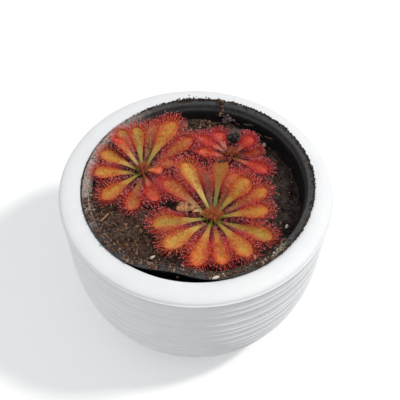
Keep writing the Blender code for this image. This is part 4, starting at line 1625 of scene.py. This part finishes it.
    def tentacles(self, start: float, rng: Random) -> tuple[Shape, Shape]:
        """Stalked glands, and the dew on the longer ones.

        A tentacle is p(d) = base + d direction + 0.12 d^2 / length normal. Its direction leaves the centre
        line beside it, or the middle of the blade past its widest place, and is tilted up by its lift.

        Args:
            start: distance of the leaf's base from the crown's axis.
            rng: source of the scatter.

        Returns:
            The tentacles and the drops.
        """
        s, x, lift, length = self.hair_places(start, rng)
        count = len(s)
        centre, along, level, normal, half = self.frame(s, start)
        base = centre + level * (half * x)[:, None]
        up = self.thickness * 0.5 * np.sqrt(1 - np.minimum(1, x * x)) + self.lift(half, x)
        base += normal * up[:, None]
        hub = self.frame(np.minimum(s, self.widest - 0.06), start)[0]
        out = base - hub
        out -= normal * (out * normal).sum(axis=1, keepdims=True)
        out = unit(out + along * 0.15 * np.linalg.norm(out, axis=1, keepdims=True))
        tilt = np.radians(lift)[:, None]
        heading = unit(out * np.cos(tilt) + normal * np.sin(tilt) + rng.normal(0, 0.12, (count, 3)))
        d = np.stack([0 * length, 0.5 * length, length - self.gland, length], 1)[..., None]
        bend = normal[:, None] * 0.12 * d * d / length[:, None, None]
        lines = base[:, None] + heading[:, None] * d + bend
        radii = rng.uniform(0.85, 1.15, count)[:, None] * np.array([0.085, 0.06, 0.05, 0.15])
        # stalk hairs, low between the leaves, get the darkest end of the map: partly painted shade
        warm = self.tone.value.warmth * smooth(s, 0.3, 0.62) + rng.normal(0, 0.1, count)
        warm = warm - 0.12 * np.abs(x) + 0.3 * smooth(lift, 15, 66)
        low, high = strips(np.clip(warm, 0, 0.95), 0.05)
        far, near = length > self.long, length <= self.long
        few = [0, 2, 3]
        hairs = [
            tubes(lines[far], radii[far], 4, low[far], high[far]),
            tubes(lines[near][:, few], radii[near][:, few] * 0.9, 3, low[near], high[near]),
        ]
        wet = rng.random(count) < np.where(far, 0.62, 0.0) * smooth(-lift, -62, -38)
        size = rng.uniform(0.14, 0.25, wet.sum())
        drops = lumps(rng, lines[wet, 3], size[:, None] * np.ones(3), 0.0, 0.0, 6, 3)
        return Shape.joined(hairs), drops


@dataclass
class Rosette:
    """A crown with the leaves round it."""

    name: str
    x: float
    y: float
    base: float  # height of the lowest leaf bases
    crown_radius: float
    crown_top: float
    spread: float  # how far its tentacles reach
    shoots: int  # furled young leaves in its heart
    leaves: tuple
    skin: Finish
    hair_slot: Slot
    seed: int
    furry: float = 1.0  # how thick all its tentacles stand
    heart_tone: Tones = Tones.SHOOT
    dew: Finish = GLINT_DEW[Slot.LEAF]
    heart_spread: float = 1.35  # reach of its outermost shoot, in crown radii
    stem_drop: float = 1.3  # how far the stem's top is below the crown's
    stem_profile: tuple = ((0, -1.2), (0.8, -1.2), (0.98, 0), (1.0, 0.5), (0.9, 0.78), (0.5, 0.95), (0, 1))
    tuck: float = 0.4  # how far leaf bases reach inside the crown's radius
    shoot_start: float = 0.2  # how far a shoot's base is from the axis

    def moved(self, shape: Shape) -> Shape:
        """The shape with its points carried from the crown's axis to their place."""
        shape.points = shape.points + (self.x, self.y, self.base)
        return shape

    def heart(self, rng: Random) -> None:
        """Furled shoots round a short stem, steeper and shorter towards the middle, with their hairs; the
        stem is painted dark as shade deep in the heart.

        Args:
            rng: source of their shades and of the scatter of their hairs.
        """
        skins, hairs = [], []
        for i in range(self.shoots):
            share = i / max(1, self.shoots - 1)
            shoot = Leaf(
                azimuth=GOLDEN_ANGLE * i + 20,
                reach=self.crown_radius * (self.heart_spread - (self.heart_spread - 0.4) * share),
                rise=1.7 + 1.9 * share,
                blade=1.9 - 0.4 * share,
                tone=self.heart_tone,
                tier=1,
                arch=1.1 - 0.3 * share,
                cup=0.7,
                hairs=0.9,
                fringe=0.8,
                stalk=0.8,
                thickness=0.4,
            )
            skin = shoot.skin(self.shoot_start, 14, 10)
            skin.tint[:, :3] *= rng.uniform(0.55, 1.3)
            skins.append(skin)
            hairs.append(shoot.tentacles(self.shoot_start, rng)[0])
        top = self.crown_top - self.base - self.stem_drop
        profile = np.array(self.stem_profile) * (self.crown_radius * 0.8, top)
        stem = turned(profile, 24, lambda a, z: -0.12 * self.crown_radius * np.cos(5 * a))
        # painted shade: the stem, deep among the shoots, is 0.4 of their blade colour
        dark = 0.4 * np.array(self.heart_tone.value.blade)
        stem.tint = np.tile((*dark, 1.0), (len(stem.points), 1))
        shape = self.moved(Shape.joined([stem, *skins]))
        add_piece(f"{self.name}_crown_shoots", shape, CROWN, [f"{self.name}_crown"])
        add_piece(f"{self.name}_crown_hairs", self.moved(Shape.joined(hairs)), HAIR[Slot.CROWN])

    def build(self) -> None:
        """Adds the heart, and each leaf with its tentacles and dew."""
        rng = np.random.default_rng(self.seed)
        self.heart(rng)
        start = self.crown_radius - self.tuck
        for number, leaf in enumerate(self.leaves, 1):
            name = f"{self.name}_leaf_{number:02d}"
            add_piece(f"{name}_blade", self.moved(leaf.skin(start)), self.skin, [name])
            hairs, drops = replace(leaf, hairs=leaf.hairs * self.furry).tentacles(start, rng)
            add_piece(f"{name}_tentacles", self.moved(hairs), HAIR[self.hair_slot])
            add_piece(f"{name}_dew", self.moved(drops), self.dew)


T = Tones  # the leaves are azimuth, reach, rise, blade, tone, tier and arch
FRONT = Rosette("front", 6.6, -12.8, 64.3, 2.2, 68.6, 26.0, 13, (
    Leaf(79, 15.9, 14.6, 6.6, T.UMBER, 2, 1.0, cup=0.4, taper=2.2, hairs=0.45, fringe=0.6),
    Leaf(44, 18.9, 7.0, 8.2, T.AMBER, 1, 1.2),
    Leaf(24, 22.4, 7.4, 7.0, T.AMBER, 0, 1.0),
    Leaf(-1, 20.7, 5.4, 7.2, T.AMBER, 1, 0.8),
    Leaf(-28, 24.7, 4.4, 7.0, T.OLIVE, 0, 1.0),
    Leaf(-56, 23.9, 3.6, 7.8, T.AMBER, 1, 1.0),
    Leaf(-80, 23.1, 3.6, 7.6, T.EMBER, 0, 1.0),
    Leaf(-104, 24.5, 2.6, 7.4, T.EMBER, 1, 1.0),
    Leaf(-134, 24.5, 5.6, 7.8, T.GOLD, 0, 1.4),
    Leaf(-160, 23.4, 4.6, 7.8, T.OLIVE, 1, 0.8),
    Leaf(146, 22.8, 6.4, 7.0, T.RUST, 0, 1.3),
    Leaf(121, 22.9, 7.0, 6.6, T.GOLD, 2, 1.0),
    Leaf(100, 19.9, 5.6, 6.4, T.SHADED, 0),
    Leaf(64, 21.2, 4.6, 6.8, T.AMBER, 0),
), LEAF, Slot.LEAF, 101)
LEFT = Rosette("left", -21.4, 8.7, 64.7, 1.9, 68.3, 23.0, 8, (
    Leaf(81, 22.7, 3.8, 6.8, T.OLIVE),
    Leaf(62, 25.0, 5.4, 8.4, T.AMBER, 1, 1.0),
    Leaf(38, 24.1, 4.8, 7.0, T.RUST),
    Leaf(17, 12.7, 1.4, 5.6, T.RUST, 1),
    Leaf(-99, 20.7, 2.6, 6.8, T.RUST),
    Leaf(-131, 21.4, 2.2, 7.0, T.AMBER, 1),
    Leaf(-163, 18.8, 5.8, 6.6, T.AMBER, 0, 1.0, fringe=0.85),
    Leaf(165, 16.9, 5.0, 6.2, T.GOLD, 1, 0.8, fringe=0.8),
    Leaf(140, 15.3, 6.6, 5.4, T.TIPPED, 2, 0.8, roll=-30, cup=1.2, fringe=0.8),
    Leaf(122, 19.4, 6.8, 5.8, T.OLIVE, 0, 1.0, fringe=0.75),
    Leaf(101, 18.8, 4.2, 6.0, T.OLIVE, 2, fringe=0.85),
    Leaf(-21, 8.5, 2.6, 4.2, T.CORAL, 2, hairs=0.5),
    Leaf(-69, 17.6, 2.4, 6.4, T.PEACH, 1, hairs=1.5),
    Leaf(-43, 13.6, 1.2, 5.8, T.PEACH, hairs=1.6),
), LEAF, Slot.LEAF, 202, 1.0, T.RUSSET, PALE_GLINT_DEW, 1.05, 2.0)
BACK = Rosette("back", 13.3, 19.3, 62.8, 1.7, 66.0, 15.0, 6, (
    Leaf(121, 11.0, 4.8, 6.0, T.SCARLET, 0, 0.8, fringe=0.85),
    Leaf(-172, 12.8, 4.0, 5.4, T.PEACH, 1),
    Leaf(31, 10.8, 5.2, 6.0, T.SCARLET, 1, 0.8, fringe=0.7),
    Leaf(2, 12.0, 4.0, 5.4, T.SHADED, fringe=0.7),
    Leaf(-38, 18.4, 4.0, 6.0, T.SCARLET, 1),
    Leaf(48, 10.6, 4.6, 5.2, T.SCARLET, fringe=0.85),
    Leaf(154, 14.4, 2.6, 5.2, T.SCARLET, 2),
), RED_LEAF, Slot.RED_LEAF, 303, 1.5, T.WINE, GLINT_DEW[Slot.RED_LEAF])
ROSETTES = (FRONT, LEFT, BACK)


# ---------------------------------------------------------------- loose bits


@dataclass
class LooseBits:
    """The withered leaf, the straw, the pale chips, the crumb on the rim and a dark flake."""

    soil: Soil
    chips: tuple = (  # middle x and y, length, width and turn in degrees
        (-18.0, -34.3, 2.0, 1.1, 120.0),
        (-15.2, -32.4, 2.5, 1.0, 28.0),
        (22.3, -29.4, 1.6, 1.1, 40.0),
        (27.7, 29.0, 2.5, 1.5, 5.0),
        (34.9, -14.2, 2.2, 1.1, 150.0),
        (7.8, -43.5, 2.7, 1.2, 20.0),
    )
    chip_thickness: float = 0.68
    straw: tuple = ((-36.0, -17.2), (-33.0, -12.8))
    straw_lift: float = 0.8
    flake_spots: tuple = ((-1.1, 0.2), (-0.4, 0.1), (0.3, -0.1), (0.9, -0.4))  # across and along the leaf
    flake_half: tuple = (0.75, 0.42, 0.3)
    outside_crown: float = 0.3  # how far beyond the crown's radius the withered leaf starts

    def withered_leaf(self) -> None:
        """A dead leaf whose edges have shrunk and curled: its skin is shifted by two sets of waves."""
        leaf = Leaf(169, 14.4, 2.0, 4.6, T.STRAWY, 1, 1.2, sway=-1.0, roll=35, cup=1.2)
        shape = leaf.skin(FRONT.crown_radius + self.outside_crown, 36, 20)
        local = shape.points
        wrinkle = waves(local[:, 0], local[:, 1] + local[:, 2], 7, 0.8, 2.6, 24)
        twist = waves(local[:, 1], local[:, 2] - local[:, 0], 8, 1.2, 3.0, 24)
        shape.points = local + np.stack([0.3 * twist, 0.35 * twist, 0.45 * wrinkle], 1)
        # The tint follows the wrinkles' height: lighter on their crests and darker in their troughs, painted
        # light and shade.
        shape.tint = shape.tint * (1 + 0.3 * wrinkle[:, None]).clip(0.55, 1.3)
        add_piece("front_leaf_withered_husk", FRONT.moved(shape), DEAD_LEAF, ["front_leaf_withered"])

    def chip(self, number: int, x: float, y: float, length: float, width: float, turn: float) -> None:
        """A pale husk of wood: a flat rough lump where its CAD chip lies.

        Args:
            number: its number.
            x: its middle.
            y: its middle.
            length: its length.
            width: its width.
            turn: its heading, in degrees.
        """
        rng = np.random.default_rng(500 + number)
        low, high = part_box(f"pale_chip_{number}")
        centre = np.array([[x, y, (low.z + high.z) / 2 / MM]])
        half = np.array([[length, width, self.chip_thickness]]) / 2
        shape = lumps(rng, centre * 0, half, 0.1, 0.0, 12, 5)
        a = math.radians(turn)
        spin = np.array([(math.cos(a), -math.sin(a), 0), (math.sin(a), math.cos(a), 0), (0, 0, 1)])
        shape.points = shape.points @ spin.T + centre
        add_piece(f"husk_chip_{number}", shape, GRIT, [f"pale_chip_{number}"])

    def straw_stem(self) -> None:
        """A bent dry stem: a quadratic curve between its ends, a little above the ground."""
        ends = np.array(self.straw)
        z = self.soil.height(ends[:, 0], ends[:, 1]) + self.straw_lift
        a, b = (np.array([*p, h]) for p, h in zip(ends, z))
        bend = (a + b) / 2 + (0.4, -0.4, 0.5)
        t = np.linspace(0, 1, 14)[:, None]
        line = a * (1 - t) ** 2 + bend * 2 * t * (1 - t) + b * t * t
        radii = 0.3 * (1 - 0.35 * t[:, 0]) * (1 + 0.08 * np.sin(t[:, 0] * 40))
        shape = tubes(line[None], radii[None], 8, np.zeros((1, 2)), np.ones((1, 2)))
        add_piece("straw_stem", shape, STRAW, ["straw_fibre"])

    def crumb(self) -> None:
        """A crumb of peat made of a few clods, lying on the black rim."""
        rng = np.random.default_rng(71)
        low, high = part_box("rim_soil_crumb")
        middle = np.array((low + high) / 2) / MM
        parts = middle + rng.normal(0, 0.5, (7, 3)) * (1, 1, 0.35)
        shape = lumps(rng, parts, rng.uniform(0.5, 1.0, (7, 3)), 0.14, cols=10, rows=5)
        add_piece("rim_clod", shape, CLODS, ["rim_soil_crumb"])

    def speck(self) -> None:
        """A small dark flake stuck near the tip of the raised front leaf."""
        rng = np.random.default_rng(81)
        start = FRONT.crown_radius + self.outside_crown
        centre, along, level, normal, _ = FRONT.leaves[0].frame(np.array([0.97]), start)
        place = centre + normal * 0.95 + (FRONT.x, FRONT.y, FRONT.base)
        across, ahead = np.array(self.flake_spots).T[:, :, None]
        spots = place + level * across + along * ahead
        shape = lumps(rng, spots, np.tile(self.flake_half, (len(spots), 1)), 0.12, cols=8, rows=4)
        add_piece("dark_flake", shape, FLAKE)

    def build(self) -> None:
        """Adds every loose bit."""
        self.withered_leaf()
        for number, chip in enumerate(self.chips, 1):
            self.chip(number, *chip)
        self.straw_stem()
        self.crumb()
        self.speck()


# ---------------------------------------------------------------- studio


@dataclass(frozen=True)
class Lamp:
    """A soft square lamp: where it stands, in mm, its side and its power."""

    name: str
    place: tuple
    side: float
    watts: float
    colour: Colour = WHITE


@dataclass
class Studio:
    """Pale floor, white surroundings, lamps and the camera."""

    lamps: tuple = (
        Lamp("key", (570.0, 10.0, 845.0), 100.0, 4.8, (1.0, 0.975, 0.94)),
        Lamp("low_left", (-650.0, -300.0, 170.0), 320.0, 0.8),
    )
    aim: tuple = (0.0, 0.0, 60.0)
    ambient: float = 0.58
    sky: Colour = (0.95, 0.98, 1.0)
    target: tuple = (1.6, -7.9, 70.0)
    distance: float = 304.5
    elevation: float = 52.2
    roll: float = 1.5
    lens: float = 72.2
    floor_side: float = 6000.0

    def floor(self) -> None:
        """A wide flat sheet under the pot."""
        mesh = bpy.data.meshes.new("floor")
        half = self.floor_side / 2 * MM
        corners = [(-half, -half, 0), (half, -half, 0), (half, half, 0), (-half, half, 0)]
        mesh.from_pydata(corners, [], [(0, 1, 2, 3)])
        mesh.materials.append(Floor("studio_floor", Slot.GLAZE).material())
        floor = bpy.data.objects.new("floor", mesh)
        bpy.context.scene.collection.objects.link(floor)

    def surroundings(self) -> None:
        """Even grey light all round, which the camera, mirrors and glass see as white."""
        world = bpy.data.worlds.new("surroundings")
        bpy.context.scene.world = world
        world.use_nodes = True
        world.node_tree.nodes.clear()
        tree = Tree(world.node_tree)
        _, seen = tree.seen()
        dim = tree.add("ShaderNodeBackground", {"Color": self.sky, "Strength": self.ambient}).outputs[0]
        white = tree.add("ShaderNodeBackground", {"Color": WHITE, "Strength": 1.0}).outputs[0]
        blend = tree.add("ShaderNodeMixShader", {0: seen, 1: dim, 2: white}).outputs[0]
        tree.add("ShaderNodeOutputWorld", {0: blend})

    def lamp(self, lamp: Lamp) -> None:
        """Hangs a lamp that faces the plant.

        Args:
            lamp: where it stands, and how it shines.
        """
        data = bpy.data.lights.new(lamp.name, "AREA")
        data.size = lamp.side * MM
        data.energy = lamp.watts
        data.color = lamp.colour
        hung = bpy.data.objects.new(lamp.name, data)
        place = Vector(lamp.place) * MM
        hung.location = place
        hung.rotation_euler = (Vector(self.aim) * MM - place).to_track_quat("-Z", "Y").to_euler()
        bpy.context.scene.collection.objects.link(hung)

    def camera(self) -> None:
        """A camera that looks down at the plant from the front, turned a little about its line of sight."""
        data = bpy.data.cameras.new("camera")
        data.lens = self.lens
        camera = bpy.data.objects.new("camera", data)
        lift = math.radians(self.elevation)
        tip = Matrix.Rotation(math.pi / 2 - lift, 4, "X")
        turn = tip @ Matrix.Rotation(math.radians(self.roll), 4, "Z")
        ahead = Vector((0.0, math.cos(lift), -math.sin(lift)))
        place = (Vector(self.target) - ahead * self.distance) * MM
        camera.matrix_world = Matrix.Translation(place) @ turn
        bpy.context.scene.collection.objects.link(camera)
        bpy.context.scene.camera = camera

    def build(self) -> None:
        """Sets up the studio."""
        self.floor()
        self.surroundings()
        for lamp in self.lamps:
            self.lamp(lamp)
        self.camera()
        bpy.context.scene.view_settings.view_transform = "Standard"


def main() -> None:
    """Builds every sub-assembly in order."""
    logging.basicConfig(level=logging.INFO, format="%(message)s")
    nursery = NurseryPot()
    soil = Soil(nursery)
    Cachepot().build()
    nursery.build()
    soil.build()
    for rosette in ROSETTES:
        rosette.build()
    LooseBits(soil).build()
    Studio().build()


if __name__ == "__main__":
    main()
